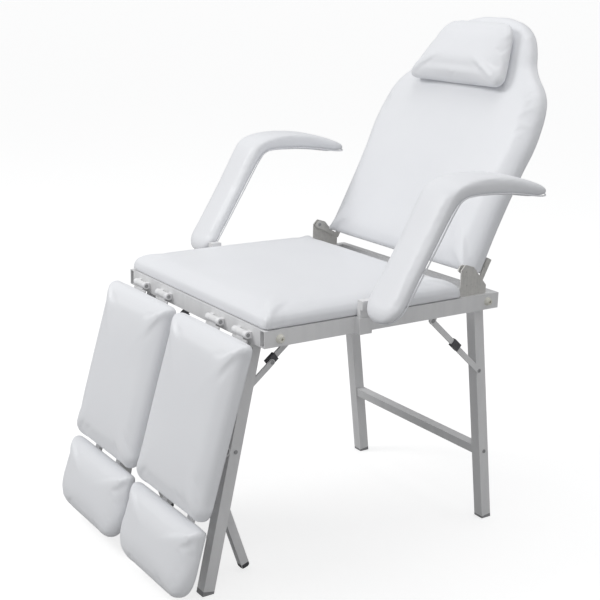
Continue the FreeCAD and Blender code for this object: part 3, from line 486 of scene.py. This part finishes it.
VINYL = vinyl_finish("white vinyl", (0.83, 0.84, 0.865), (0.79, 0.80, 0.83))
WELT = vinyl_finish("vinyl welt", (0.78, 0.79, 0.815), (0.74, 0.75, 0.78))
PAINT = painted_steel("white powder coat", (0.80, 0.80, 0.805), (0.72, 0.72, 0.73))
# A lighter copy of the white powder coat for the leg rests' hinge lugs: painted light for faces turned up towards
# the lamps.
PAINT_LIGHTENED_AS_LIT = painted_steel("powder coat with painted light", (0.85, 0.85, 0.86), (0.76, 0.76, 0.78))
ZINC = zinc_plate("zinc plate", (0.72, 0.71, 0.68), (0.60, 0.59, 0.57), 0.35)
BOLT_ZINC = zinc_plate("zinc bolts", (0.50, 0.50, 0.51), (0.33, 0.33, 0.34))
DARK_STEEL = zinc_plate("dark steel collars", (0.17, 0.17, 0.18), (0.10, 0.10, 0.11), 0.6, 0.42)
CREAM = moulded_plastic("cream plastic", (0.78, 0.77, 0.70), (0.70, 0.69, 0.62))
GREY = moulded_plastic("grey plastic", (0.36, 0.36, 0.37), (0.29, 0.29, 0.30))
DARK = moulded_plastic("dark plastic", (0.09, 0.09, 0.095), (0.06, 0.06, 0.065))
BACKING = backing_cloth("backing cloth", (0.42, 0.42, 0.43), (0.33, 0.33, 0.34))
PLY = birch_plywood("birch plywood", (0.60, 0.44, 0.27), (0.47, 0.33, 0.19))

SLOT_FINISH = {"white_vinyl": VINYL, "plywood": PLY, "white_steel": PAINT, "zinc_plate": ZINC,
               "zinc_bolts": BOLT_ZINC, "cream_plastic": CREAM, "grey_plastic": GREY}
# The leg rests' hinge lugs take the lighter copy of the powder coat, which is painted light.
OWN_FINISH = {"front_brace_collar_left": DARK_STEEL, "front_brace_collar_right": DARK_STEEL,
              "rear_brace_collar_left": DARK_STEEL, "rear_brace_collar_right": DARK_STEEL,
              "leg_rest_hinge_lugs": PAINT_LIGHTENED_AS_LIT, "leg_pivot_studs": BOLT_ZINC}


def paint_frame():
    """Every carried-over node of the frame gets the finish of its material slot."""
    slots = {part["node"]: part["material_slot"] for part in frame["record"]["subparts"]}
    for name, node in frame["nodes"].items():
        node.data.materials.clear()
        node.data.materials.append(OWN_FINISH.get(name, SLOT_FINISH[slots[name]]))


# ------------------------------------------------------------------ filling the covers
VOXEL = 0.005
FRAMES = 20
PRESSURE = 4.0


def remeshed(piece, voxel):
    """The piece's skin made again from small even faces."""
    remesh = piece.modifiers.new("even faces", "REMESH")
    remesh.mode = "VOXEL"
    remesh.voxel_size = voxel
    bake_down(piece)


def bake_down(piece):
    """The piece's modifiers applied to its mesh."""
    graph = bpy.context.evaluated_depsgraph_get()
    mesh = bpy.data.meshes.new_from_object(piece.evaluated_get(graph))
    finish = piece.data.materials[0]
    piece.modifiers.clear()
    piece.data = mesh
    mesh.materials.clear()
    mesh.materials.append(finish)
    mesh.polygons.foreach_set("use_smooth", np.ones(len(mesh.polygons), bool))


def fill_with_foam(soft):
    """Cloth simulation of the covers under the foam's pressure.

    soft is (piece, a rule that says which points its board holds, furthest a point may
    move).  A point's move m becomes cap x tanh(m / cap), so none passes its cap.
    """
    before = {}
    for piece, is_held, _ in soft:
        remeshed(piece, VOXEL)
        before[piece.name] = points_of(piece.data)
        held = piece.vertex_groups.new(name="held")
        held.add(np.nonzero(is_held(before[piece.name]))[0].tolist(), 1.0, "REPLACE")
        cloth = piece.modifiers.new("filling", "CLOTH")
        settings = cloth.settings
        settings.quality = 4
        settings.mass = 0.35
        settings.vertex_group_mass = "held"
        settings.use_pressure = True
        settings.uniform_pressure_force = PRESSURE
        settings.effector_weights.gravity = 0
        cloth.collision_settings.use_collision = False
        cloth.point_cache.frame_start, cloth.point_cache.frame_end = 1, FRAMES
    for number in range(1, FRAMES + 1):
        bpy.context.scene.frame_set(number)
    for piece, _, cap in soft:
        bake_down(piece)
        after = points_of(piece.data)
        move = after - before[piece.name]
        length = np.linalg.norm(move, axis=1, keepdims=True) + 1e-12
        filled = before[piece.name] + move / length * cap * np.tanh(length / cap)
        piece.data.vertices.foreach_set("co", filled.astype(np.float32).ravel())
        piece.vertex_groups.clear()
        piece.data.update()
    bpy.context.scene.frame_set(1)


def rounded_off(piece):
    """One level of subdivision, applied."""
    smooth = piece.modifiers.new("fine faces", "SUBSURF")
    smooth.levels = smooth.render_levels = 1
    bake_down(piece)


def placed(piece, panel, dents=None):
    """The piece's points taken from its panel's coordinates to the bed's."""
    local = points_of(piece.data)
    if dents is not None:
        local = local + dents(local)
    piece.data.vertices.foreach_set("co", to_world(local, panel).astype(np.float32).ravel())
    piece.data.update()
    return piece


def twin(piece, name):
    """The same soft piece for the other side of the bed."""
    mesh = piece.data.copy()
    other = bpy.data.objects.new(name, mesh)
    bpy.context.scene.collection.objects.link(other)
    mesh.vertices.foreach_set("co", (points_of(mesh) * (-1, 1, 1)).astype(np.float32).ravel())
    mesh.flip_normals()
    mesh.update()
    return other


# ------------------------------------------------------------------ soft pieces
def soft_cover(name, loop, rear, face, crown, tuck=0.006, round_in=0.026, round_down=0.020):
    """A cushion's skin in its panel's coordinates, ready to be filled."""
    points, faces = cover(loop, soft_rim(rear, face, tuck, round_in, round_down), crown)
    return make_piece(name, points, faces, VINYL)


def held_by_board(rear, depth=0.004):
    """Points within depth of the cover's back are stapled to the board."""
    return lambda points: points[:, 2] < rear + depth


def seat_loop():
    """The seat's outline between its front edge and the back's lower edge."""
    front, rear = seat_low[1] - SEAT_PAST_FRONT, seat_high[1] + SEAT_PAST_REAR
    corners = [(-SEAT_HALF, front), (SEAT_HALF, front), (SEAT_HALF, rear), (-SEAT_HALF, rear)]
    return rounded_loop(corners, SEAT_ROUND, 300)


def rest_loop():
    """A leg rest's outline: small rounds at the top, wide ones at the lower corners."""
    corners = [(REST_INNER, REST_END), (REST_OUTER, REST_END),
               (REST_OUTER, REST_TOP), (REST_INNER, REST_TOP)]
    return rounded_loop(corners, (0.036, 0.036, 0.016, 0.016), 240)


def foot_loop():
    """A foot pad's outline: it widens a little and ends in two wide rounds."""
    middle, half = (REST_INNER + REST_OUTER) / 2, (REST_OUTER - REST_INNER) / 2
    wide = half + 0.003
    corners = [(middle - wide, FOOT_END), (middle + wide, FOOT_END),
               (middle + half - 0.001, FOOT_TOP), (middle - half + 0.001, FOOT_TOP)]
    return rounded_loop(corners, (0.066, 0.066, 0.012, 0.012), 240)


def pillow_skin():
    """The head pillow: ring after ring of a rounded trapezium, from the face that lies on
    the back, out over a full lower roll, to the crown.  At height t the outline moves by
    the quarter-ellipse law, and the face slopes back towards the top edge."""
    corners = [(-PILLOW_HALF_LOW, PILLOW_LOW), (PILLOW_HALF_LOW, PILLOW_LOW),
               (PILLOW_HALF_TOP, PILLOW_TOP), (-PILLOW_HALF_TOP, PILLOW_TOP)]
    loop = rounded_loop(corners, (0.030, 0.030, 0.040, 0.040), 240)
    points, faces = cover(loop, soft_rim(0.0, 0.034, 0.010, 0.030, 0.024), 0.011)
    along = np.clip((points[:, 1] - PILLOW_LOW) / (PILLOW_TOP - PILLOW_LOW), 0, 1)
    slope = 1.08 - 0.50 * along ** 1.3
    lift = points[:, 2] * slope
    sag = -0.010 * np.sin(math.pi * np.clip(points[:, 2] / 0.045, 0, 1)) * (1 - along) ** 2
    points = np.column_stack([points[:, 0], points[:, 1] + sag, PILLOW_REST + 0.0015 + lift])
    return make_piece("pillow_cover", points, faces, VINYL)


def arm_skin():
    """An armrest: a cross-section carried along its middle line.

    A ring at length s is x = W sgn(c)|c|^p, n = T sgn(q)|q|^p, with c and q the cosine and
    sine of its angle; W and T shrink at both ends on a quarter ellipse, and the power p is
    larger above, where the pad is crowned, than below, where it lies on its metal core.
    """
    line = smooth_line(ARM_LINE, 110)
    middle, thick = line[:, :2], line[:, 2]
    run = np.gradient(middle, axis=0)
    run /= np.linalg.norm(run, axis=1, keepdims=True)
    normal = np.stack([-run[:, 1], run[:, 0]], axis=1)
    length = np.concatenate([[0], np.cumsum(np.linalg.norm(np.diff(middle, axis=0), axis=1))])
    from_start, from_end = length, length[-1] - length
    def end_round(distance, reach):
        return np.sqrt(np.clip(1 - (1 - np.clip(distance / reach, 0, 1)) ** 2, 0, 1))
    width = ARM_HALF_WIDTH * end_round(from_start, 0.046) * end_round(from_end, 0.060)
    depth = thick * end_round(from_start, 0.012) * end_round(from_end, 0.020)
    turn = np.linspace(0, 2 * math.pi, 72, endpoint=False)
    power = np.where(np.sin(turn) > 0, 0.62, 0.30)
    across = np.sign(np.cos(turn)) * np.abs(np.cos(turn)) ** power
    out = np.sign(np.sin(turn)) * np.abs(np.sin(turn)) ** power
    keep = slice(1, -1)
    rings = np.stack([
        width[keep, None] * across[None],
        middle[keep, :1] + depth[keep, None] * out[None] * normal[keep, :1],
        middle[keep, 1:] + depth[keep, None] * out[None] * normal[keep, 1:]], axis=-1)
    rings = rings[:, ::-1]
    points, faces = capped(rings, np.append(0, middle[0]), np.append(0, middle[-1]))
    edge = [np.stack([side * width[keep] * 0.985,
                      middle[keep, 0] - 0.80 * depth[keep] * normal[keep, 0],
                      middle[keep, 1] - 0.80 * depth[keep] * normal[keep, 1]], axis=1)
            for side in (1, -1)]
    up = np.column_stack([np.zeros(len(normal[keep])), normal[keep]])
    return points, faces, np.vstack([edge[0], edge[1][::-1]]), np.vstack([up, up[::-1]])


def even_path(line, also, count):
    """A closed line in space and a direction along it, resampled at equal steps."""
    closed, turned_with = np.vstack([line, line[:1]]), np.vstack([also, also[:1]])
    length = np.concatenate([[0], np.cumsum(np.linalg.norm(np.diff(closed, axis=0), axis=1))])
    place = np.linspace(0, length[-1], count, endpoint=False)
    sample = lambda values: np.stack([np.interp(place, length, values[:, axis])
                                      for axis in range(3)], axis=1)
    return sample(closed), sample(turned_with)


def seat_dents(points):
    """Drawn-in folds at the seat's corners: the side moves in by depth x a bell curve of
    the distance from each fold's line, most at mid height and none at the top."""
    low = np.clip(1 - points[:, 2] / 0.034, 0, 1) * np.clip(points[:, 2] / 0.004, 0, 1)
    move = np.zeros_like(points)
    front = seat_low[1]
    for place, depth, width in ((0.034, 0.0026, 0.012), (0.062, 0.0016, 0.010),
                                (0.430, 0.0020, 0.014)):
        bell = np.exp(-((points[:, 1] - front - place - 0.5 * points[:, 2]) / width) ** 2)
        side = np.clip((np.abs(points[:, 0]) - 0.235) / 0.03, 0, 1)
        move[:, 0] -= np.sign(points[:, 0]) * depth * bell * low * side
    return move


def back_lip(points):
    """The back's lower end: its face reaches down over the seat and its rear is cut short,
    by a shear that fades out on a squared cosine up the back."""
    depth = np.clip((points[:, 2] - BACK_REAR) / (BACK_LIP_FACE - BACK_REAR), 0, 1)
    fade = np.cos(0.5 * math.pi * np.clip(points[:, 1] / BACK_LIP_FADE, 0, 1)) ** 2
    move = np.zeros_like(points)
    move[:, 1] = fade * (BACK_LIP_CUT - (BACK_LIP_CUT + BACK_LIP_DROP) * depth)
    return move


def make_soft_pieces():
    """All the padded pieces, filled together, then set on their bodies."""
    seat = soft_cover("seat_cover", seat_loop(), 0.0003, 0.0325, 0.0055, 0.004, 0.030, 0.022)
    back = soft_cover("back_cover", mirrored_loop(BACK_HALF_WIDTHS), BACK_REAR, -0.0175, 0.0055,
                      0.007, 0.034, 0.026)
    pillow_piece = pillow_skin()
    rest = soft_cover("leg_rest_cover_right", rest_loop(), REST_REAR, REST_FACE - 0.004, 0.0045,
                      0.006, 0.030, 0.022)
    foot = soft_cover("foot_cover_right", foot_loop(), REST_REAR, REST_FACE - 0.004, 0.0045,
                      0.006, 0.030, 0.022)
    arm_low, arm_high = (np.array(corner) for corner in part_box("armrest_pad_right"))
    arm_middle = (arm_low[0] + arm_high[0]) / 2
    arm_points, arm_faces, welt_line, welt_up = arm_skin()
    arm = make_piece("armrest_cover_right", arm_points, arm_faces, VINYL)
    arm_panel = panel_frame((arm_middle, 0, 0), (0, 1, 0))
    soft = [(seat, held_by_board(0.0003), 0.004), (back, held_by_board(BACK_REAR), 0.004),
            (pillow_piece, held_by_board(PILLOW_REST), 0.004),
            (rest, held_by_board(REST_REAR), 0.0035), (foot, held_by_board(REST_REAR), 0.0035),
            (arm, lambda points: points[:, 2] < 0.5475, 0.0022)]
    fill_with_foam(soft)
    for piece, _, _ in soft:
        rounded_off(piece)
    placed(seat, SEAT, seat_dents)
    placed(back, BACK, back_lip)
    placed(pillow_piece, BACK)
    placed(rest, REST)
    placed(foot, REST)
    placed(arm, arm_panel)

    bodies = [(seat, "frame", ("seat_pad", "seat_board"), 0.75),
              (back, "backrest", ("back_pad", "back_board"), 0.75),
              (pillow_piece, "pillow", ("pillow",), 0.8)]
    for side, _ in SIDES:
        right = side == "right"
        bodies += [
            (rest if right else twin(rest, "leg_rest_cover_left"), f"leg_rest_{side}",
             (f"leg_rest_pad_{side}", f"leg_rest_board_{side}"), 0.75),
            (foot if right else twin(foot, "foot_cover_left"), f"foot_pad_{side}",
             (f"foot_pad_{side}",), 0.75),
            (arm if right else twin(arm, "armrest_cover_left"), f"armrest_{side}",
             (f"armrest_pad_{side}",), 0.85)]
    for piece, body, nodes, fill in bodies:
        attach(piece, body)
        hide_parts(*nodes)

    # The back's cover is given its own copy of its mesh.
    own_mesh(back)

    line, up = even_path(welt_line, welt_up, 260)
    points, faces = tube(line, 0.0014, up, 8)
    points = points + (arm_middle, 0, 0)
    for side, sign in SIDES:
        part = (points, faces) if sign > 0 else other_side(points, faces)
        hard_piece(f"armrest_welt_{side}", part, WELT, f"armrest_{side}")


# ------------------------------------------------------------------ small hard pieces
def hard_piece(name, part, material, body):
    """A finished piece on its body."""
    piece = make_piece(name, *part, material)
    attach(piece, body)
    return piece


def dome(radius, height, steps=5):
    """(radius, height) points of a domed head, from its rim to near its middle."""
    angle = np.linspace(0, math.pi / 2 * 0.94, steps)
    return [(radius * math.cos(a), height * math.sin(a)) for a in angle]


def rivet(centre, axis, length, radius=0.0032, head=0.0046, rise=0.0016):
    """A rivet along an axis from a centre: a shank with a domed head at both ends."""
    top = [(r, length + h) for r, h in dome(head, rise)]
    bottom = [(r, -h) for r, h in dome(head, rise)][::-1]
    profile = bottom + [(head, 0.0), (radius, 0.0002), (radius, length - 0.0002),
                        (head, length)] + top
    return turned(profile, np.asarray(centre, float), axis, 18)


def screw_head(centre, axis, radius=0.0038, height=0.0021):
    """A pan head with a cross recess: height h(r) of a dome, less the recess depth where
    the distance to either arm of the cross is under the arm's half width."""
    axis = np.asarray(axis, float) / np.linalg.norm(axis)
    helper = np.array([0.0, 0.0, 1.0]) if abs(axis[2]) < 0.9 else np.array([0.0, 1.0, 0.0])
    first = np.cross(helper, axis)
    first /= np.linalg.norm(first)
    second = np.cross(axis, first)
    turn = np.linspace(0, 2 * math.pi, 32, endpoint=False)
    spans = np.array([1.0, 0.97, 0.88, 0.74, 0.60, 0.48, 0.36, 0.24, 0.12])
    radii = radius * spans[:, None] * np.ones_like(turn)
    across, along = radii * np.cos(turn), radii * np.sin(turn)
    arm = np.minimum(np.abs(across), np.abs(along))
    inside = np.clip((0.16 * radius - arm) / (0.08 * radius), 0, 1) * (spans[:, None] < 0.7)
    rise = height * (np.sqrt(np.clip(1 - 0.80 * spans[:, None] ** 2.6, 0, 1)) - 0.55 * inside)
    rise[0] = 0.0
    rings = (np.asarray(centre, float) + across[..., None] * first + along[..., None] * second
             + rise[..., None] * axis)
    return capped(rings, np.asarray(centre, float), np.asarray(centre) + 0.45 * height * axis)


def staple(centre, along, out, span=0.010):
    """A staple's crown: a thin wire that rises out of the cloth, runs along and goes in."""
    reach = np.array([-0.5, -0.46, -0.38, 0.38, 0.46, 0.5])[:, None] * span
    rise = np.array([-0.0006, 0.0001, 0.0004, 0.0004, 0.0001, -0.0006])[:, None]
    line = np.asarray(centre) + reach * np.asarray(along) + rise * np.asarray(out)
    return tube(line, 0.0005, np.cross(along, out), 5, closed=False)


def backing(loop, depth, panel, outward, thick=0.0009):
    """A backing cloth over a cushion's rear, as a thin closed sheet of stitched rings with
    its rim turned under, and the staples that hold it, every 30 mm along its edge."""
    rim = [(0.0, depth), (0.0, depth + outward * thick * 0.7), (0.0015, depth + outward * thick)]
    middle = (loop.max(axis=0) + loop.min(axis=0)) / 2
    shells = []
    for inset, height in rim:
        shells.append(np.column_stack([inset_loop(loop, inset), np.full(len(loop), height)]))
    last = inset_loop(loop, 0.0015)
    for share in np.linspace(1, 0, 9)[1:-1]:
        shells.append(np.column_stack([middle + share * (last - middle),
                                       np.full(len(loop), rim[-1][1])]))
    rings = np.array(shells)
    if outward < 0:
        rings = rings[:, ::-1]
    points, faces = capped(rings, np.append(middle, depth), np.append(middle, rim[-1][1]))
    sheet = (to_world(points, panel), faces)

    line = inset_loop(loop, 0.008)
    step = np.linalg.norm(np.roll(line, -1, axis=0) - line, axis=1)
    length = np.concatenate([[0], np.cumsum(step)])
    places = np.arange(0.01, length[-1], 0.030)
    picked = np.searchsorted(length, places) % len(line)
    run = np.roll(line, -1, axis=0) - line
    out = panel[3] * outward
    wires = []
    for index in picked:
        spot = np.array([[line[index, 0], line[index, 1], depth + outward * thick]])
        along = run[index, 0] * panel[1] + run[index, 1] * panel[2]
        wires.append(staple(to_world(spot, panel)[0], along / np.linalg.norm(along), out))
    return sheet, joined(wires)


def make_backings():
    """Backing cloths and staples behind the back, the leg rests and foot pads."""
    jobs = [("back", inset_loop(mirrored_loop(BACK_HALF_WIDTHS), 0.020), BACK_REAR - 0.0001,
             BACK, "backrest"),
            ("seat", inset_loop(seat_loop(), 0.024), -0.0004, SEAT, "frame")]
    for name, loop, depth, panel, body in jobs:
        sheet, wires = backing(loop, depth, panel, -1.0)
        hard_piece(f"{name}_backing", sheet, BACKING, body)
        hard_piece(f"{name}_staples", wires, BOLT_ZINC, body)
    for name, loop, kind in (("leg_rest", inset_loop(rest_loop(), 0.018), "leg_rest"),
                             ("foot", inset_loop(foot_loop(), 0.018), "foot_pad")):
        sheet, wires = backing(loop, REST_REAR - 0.0001, REST, -1.0)
        for side, sign in SIDES:
            pick = (lambda part: part) if sign > 0 else (lambda part: other_side(*part))
            hard_piece(f"{name}_backing_{side}", pick(sheet), BACKING, f"{kind}_{side}")
            hard_piece(f"{name}_staples_{side}", pick(wires), BOLT_ZINC, f"{kind}_{side}")


def make_rivets():
    """Rivets through the braces' three turning points on both sides."""
    sets = (("front", FRONT_LANE, "front_legs", -1.0), ("rear", REAR_LANE, "rear_legs", 1.0))
    for name, lane, legs, away in sets:
        face, lower_end, upper_start, upper_end, bracket_end = lane
        top, catch = pivot(f"{name}_brace_upper_turn"), pivot(f"{name}_brace_lower_turn")
        slide = direction(f"{name}_collar_right_slide")
        knee = top - slide * (0.080 if name == "front" else 0.0974)
        for kind, spot, start, end, body in (
                ("hanger", top, upper_start, bracket_end, "frame"),
                ("knee", knee, face + away * 0.0008, upper_end, f"{name}_brace_upper"),
                ("catch", catch, face - away * 0.001, lower_end, legs)):
            parts = []
            for _, sign in SIDES:
                centre = np.array([sign * start, spot[1], spot[2]])
                parts.append(rivet(centre, (sign * away, 0, 0), abs(end - start)))
            hard_piece(f"{name}_{kind}_rivets", joined(parts), BOLT_ZINC, body)


def make_screws():
    """Screws of the back's arms and the leg rests' guides."""
    rear = -BACK[3]
    parts = []
    for _, sign in SIDES:
        for across, height in ((0.230, 0.019), (0.244, 0.036), (0.230, 0.040)):
            spot = np.array([[sign * across, height, -0.0570]])
            parts.append(screw_head(to_world(spot, BACK)[0], rear))
    hard_piece("back_arm_screws", joined(parts), BOLT_ZINC, "backrest")
    guides = [(x, v) for x in (0.105, 0.205) for v in (-0.085, -0.185, -0.320)]
    parts = [screw_head(to_world(np.array([[x, v, 0.0015]]), REST)[0], -REST[3])
             for x, v in guides]
    part = joined(parts)
    for side, sign in SIDES:
        hard_piece(f"guide_screws_{side}", part if sign > 0 else other_side(*part), BOLT_ZINC,
                   f"leg_rest_{side}")


def make_prop_ends():
    """Dark plastic plugs on the props' lower ends: a superellipse x^4 + y^4 = half^4
    carried down the prop and closed on a quarter ellipse."""
    along = direction("prop_right_slide")
    sleeve = pivot("prop_sleeve_right_turn")
    end = sleeve - along * PROP_BELOW_SLEEVE
    out = np.cross(ACROSS, along)
    turn = np.linspace(0, 2 * math.pi, 40, endpoint=False)
    across = np.sign(np.cos(turn)) * np.abs(np.cos(turn)) ** 0.45
    depth = np.sign(np.sin(turn)) * np.abs(np.sin(turn)) ** 0.45
    levels = [(1.10, 0.0050), (1.12, 0.0045), (1.12, 0.0)]
    levels += [(1.12 * math.cos(a), -0.008 * math.sin(a)) for a in np.linspace(0.2, 1.5, 7)]
    rings = np.array([end + height * along + PROP_HALF * share
                      * (across[:, None] * ACROSS + depth[:, None] * out)
                      for share, height in levels])[:, ::-1]
    part = capped(rings, end + 0.005 * along, end - 0.008 * along)
    for side, sign in SIDES:
        hard_piece(f"prop_plug_{side}", part if sign > 0 else other_side(*part), DARK,
                   f"prop_{side}")


def bead(centre, first, second, half, round_share=0.35, radius=0.0017):
    """A weld bead: a cord of slightly uneven thickness round a tube's square section, on
    the superellipse (u / half)^p + (v / half)^p = 1 that fits its rounded corners."""
    turn = np.linspace(0, 2 * math.pi, 72, endpoint=False)
    u = half * np.sign(np.cos(turn)) * np.abs(np.cos(turn)) ** round_share
    v = half * np.sign(np.sin(turn)) * np.abs(np.sin(turn)) ** round_share
    loop = even_loop(np.stack([u, v], axis=1), 72)
    line = np.asarray(centre) + loop[:, :1] * first + loop[:, 1:] * second
    ripple = radius * (1 + 0.10 * np.sin(turn * 24) + 0.05 * np.sin(turn * 7 + 1))
    return tube(line, ripple, np.cross(first, second), 6)


def make_weld_beads():
    """Beads where the rear crossbar meets the legs."""
    low, high = (np.array(corner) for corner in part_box("rear_crossbar"))
    middle = (low + high) / 2
    first = np.array([0.0, math.cos(REAR_LEG_LEAN), math.sin(REAR_LEG_LEAN)])
    second = np.array([0.0, -math.sin(REAR_LEG_LEAN), math.cos(REAR_LEG_LEAN)])
    parts = [bead((sign * (high[0] - 0.0008), middle[1], middle[2]), first, second,
                  CROSSBAR_BEAD_HALF)
             for _, sign in SIDES]
    hard_piece("rear_crossbar_beads", joined(parts), PAINT, "rear_legs")


# ------------------------------------------------------------------ stage
# What the floor adds to its own shade as the camera sees it, and the sky's light.
FLOOR_GLOW = 0.7
SKY_LIGHT = 0.55


def make_stage():
    """A pale floor disc, which looks white but throws little light back, and the lights."""
    floor_finish, nodes, links, shader = new_finish("pale floor", (0.45, 0.45, 0.45), 0.9)
    shader.inputs["Emission Color"].default_value = (1, 1, 1, 1)
    seen = nodes.new("ShaderNodeMath")
    seen.operation = "MULTIPLY"
    seen.inputs[1].default_value = FLOOR_GLOW
    links.new(nodes.new("ShaderNodeLightPath").outputs["Is Camera Ray"], seen.inputs[0])
    links.new(seen.outputs[0], shader.inputs["Emission Strength"])
    turn = np.linspace(0, 2 * math.pi, 96, endpoint=False)
    circle = np.stack([np.cos(turn), np.sin(turn), np.zeros_like(turn)], axis=1)
    rings = np.array([radius * circle for radius in (1.0, 4.0, 16.0, 70.0, 300.0)])
    points = np.vstack([rings.reshape(-1, 3), (0, 0, 0)]) - (0, 0, 0.0005)
    faces = ring_faces(5, 96)
    faces = [face[::-1] for face in faces]
    faces += [[len(points) - 1, i, (i + 1) % 96] for i in range(96)]
    make_piece("floor", points, faces, floor_finish)

    bpy.context.scene.view_settings.view_transform = "Standard"
    world = bpy.data.worlds.new("studio")
    bpy.context.scene.world = world
    world.use_nodes = True
    sky = world.node_tree.nodes["Background"]
    sky.inputs["Color"].default_value = (0.99, 0.995, 1.0, 1)
    sky.inputs["Strength"].default_value = SKY_LIGHT

    def soft_light(name, place, aim, size, power):
        lamp = bpy.data.lights.new(name, "AREA")
        lamp.shape, lamp.size, lamp.energy = "DISK", size, power
        holder = bpy.data.objects.new(name, lamp)
        bpy.context.scene.collection.objects.link(holder)
        aim_at(holder, np.array(place, float), np.array(aim, float))

    soft_light("key", (-1.6, -2.6, 3.0), (0, 0, 0.55), 1.6, 55)
    soft_light("fill", (2.6, -1.2, 1.8), (0, 0, 0.5), 2.4, 4)
    soft_light("top", (0.2, 0.3, 3.4), (0, 0, 0.5), 2.0, 18)


def aim_at(holder, place, aim):
    """Puts a lamp at a place, with its -Z towards a point."""
    back = (place - aim) / np.linalg.norm(place - aim)
    right = np.cross((0.0, 0.0, 1.0), back)
    right /= np.linalg.norm(right)
    up = np.cross(back, right)
    holder.matrix_world = Matrix([[*(float(v) for v in row), float(p)] for row, p in zip(
        np.stack([right, up, back], axis=1), place)] + [[0, 0, 0, 1]])


CAMERA_PLACE = (1.9802, -1.3962, 1.1576)
CAMERA_AZIMUTH, CAMERA_RISE, CAMERA_ROLL = 55.378, 15.295, 1.472
CAMERA_LENS, CAMERA_SENSOR = 69.96, 36.0


def make_camera():
    """A camera that looks down on the bed from its front right, turned about its own axis
    by a slight roll."""
    turn, rise, roll = (math.radians(a) for a in (CAMERA_AZIMUTH, CAMERA_RISE, CAMERA_ROLL))
    back = np.array([math.sin(turn) * math.cos(rise), -math.cos(turn) * math.cos(rise),
                     math.sin(rise)])
    right = np.array([math.cos(turn), math.sin(turn), 0.0])
    up = np.cross(back, right)
    x = math.cos(roll) * right + math.sin(roll) * up
    y = -math.sin(roll) * right + math.cos(roll) * up
    lens = bpy.data.cameras.new("camera")
    lens.lens, lens.sensor_width = CAMERA_LENS, CAMERA_SENSOR
    lens.clip_start, lens.clip_end = 0.05, 1000
    holder = bpy.data.objects.new("camera", lens)
    bpy.context.scene.collection.objects.link(holder)
    holder.matrix_world = Matrix([[*(float(v) for v in row), place] for row, place in zip(
        np.stack([x, y, back], axis=1), CAMERA_PLACE)] + [[0, 0, 0, 1]])
    bpy.context.scene.camera = holder


# ------------------------------------------------------------------ build
paint_frame()
make_soft_pieces()
make_backings()
make_rivets()
make_screws()
make_prop_ends()
make_weld_beads()
make_stage()
make_camera()
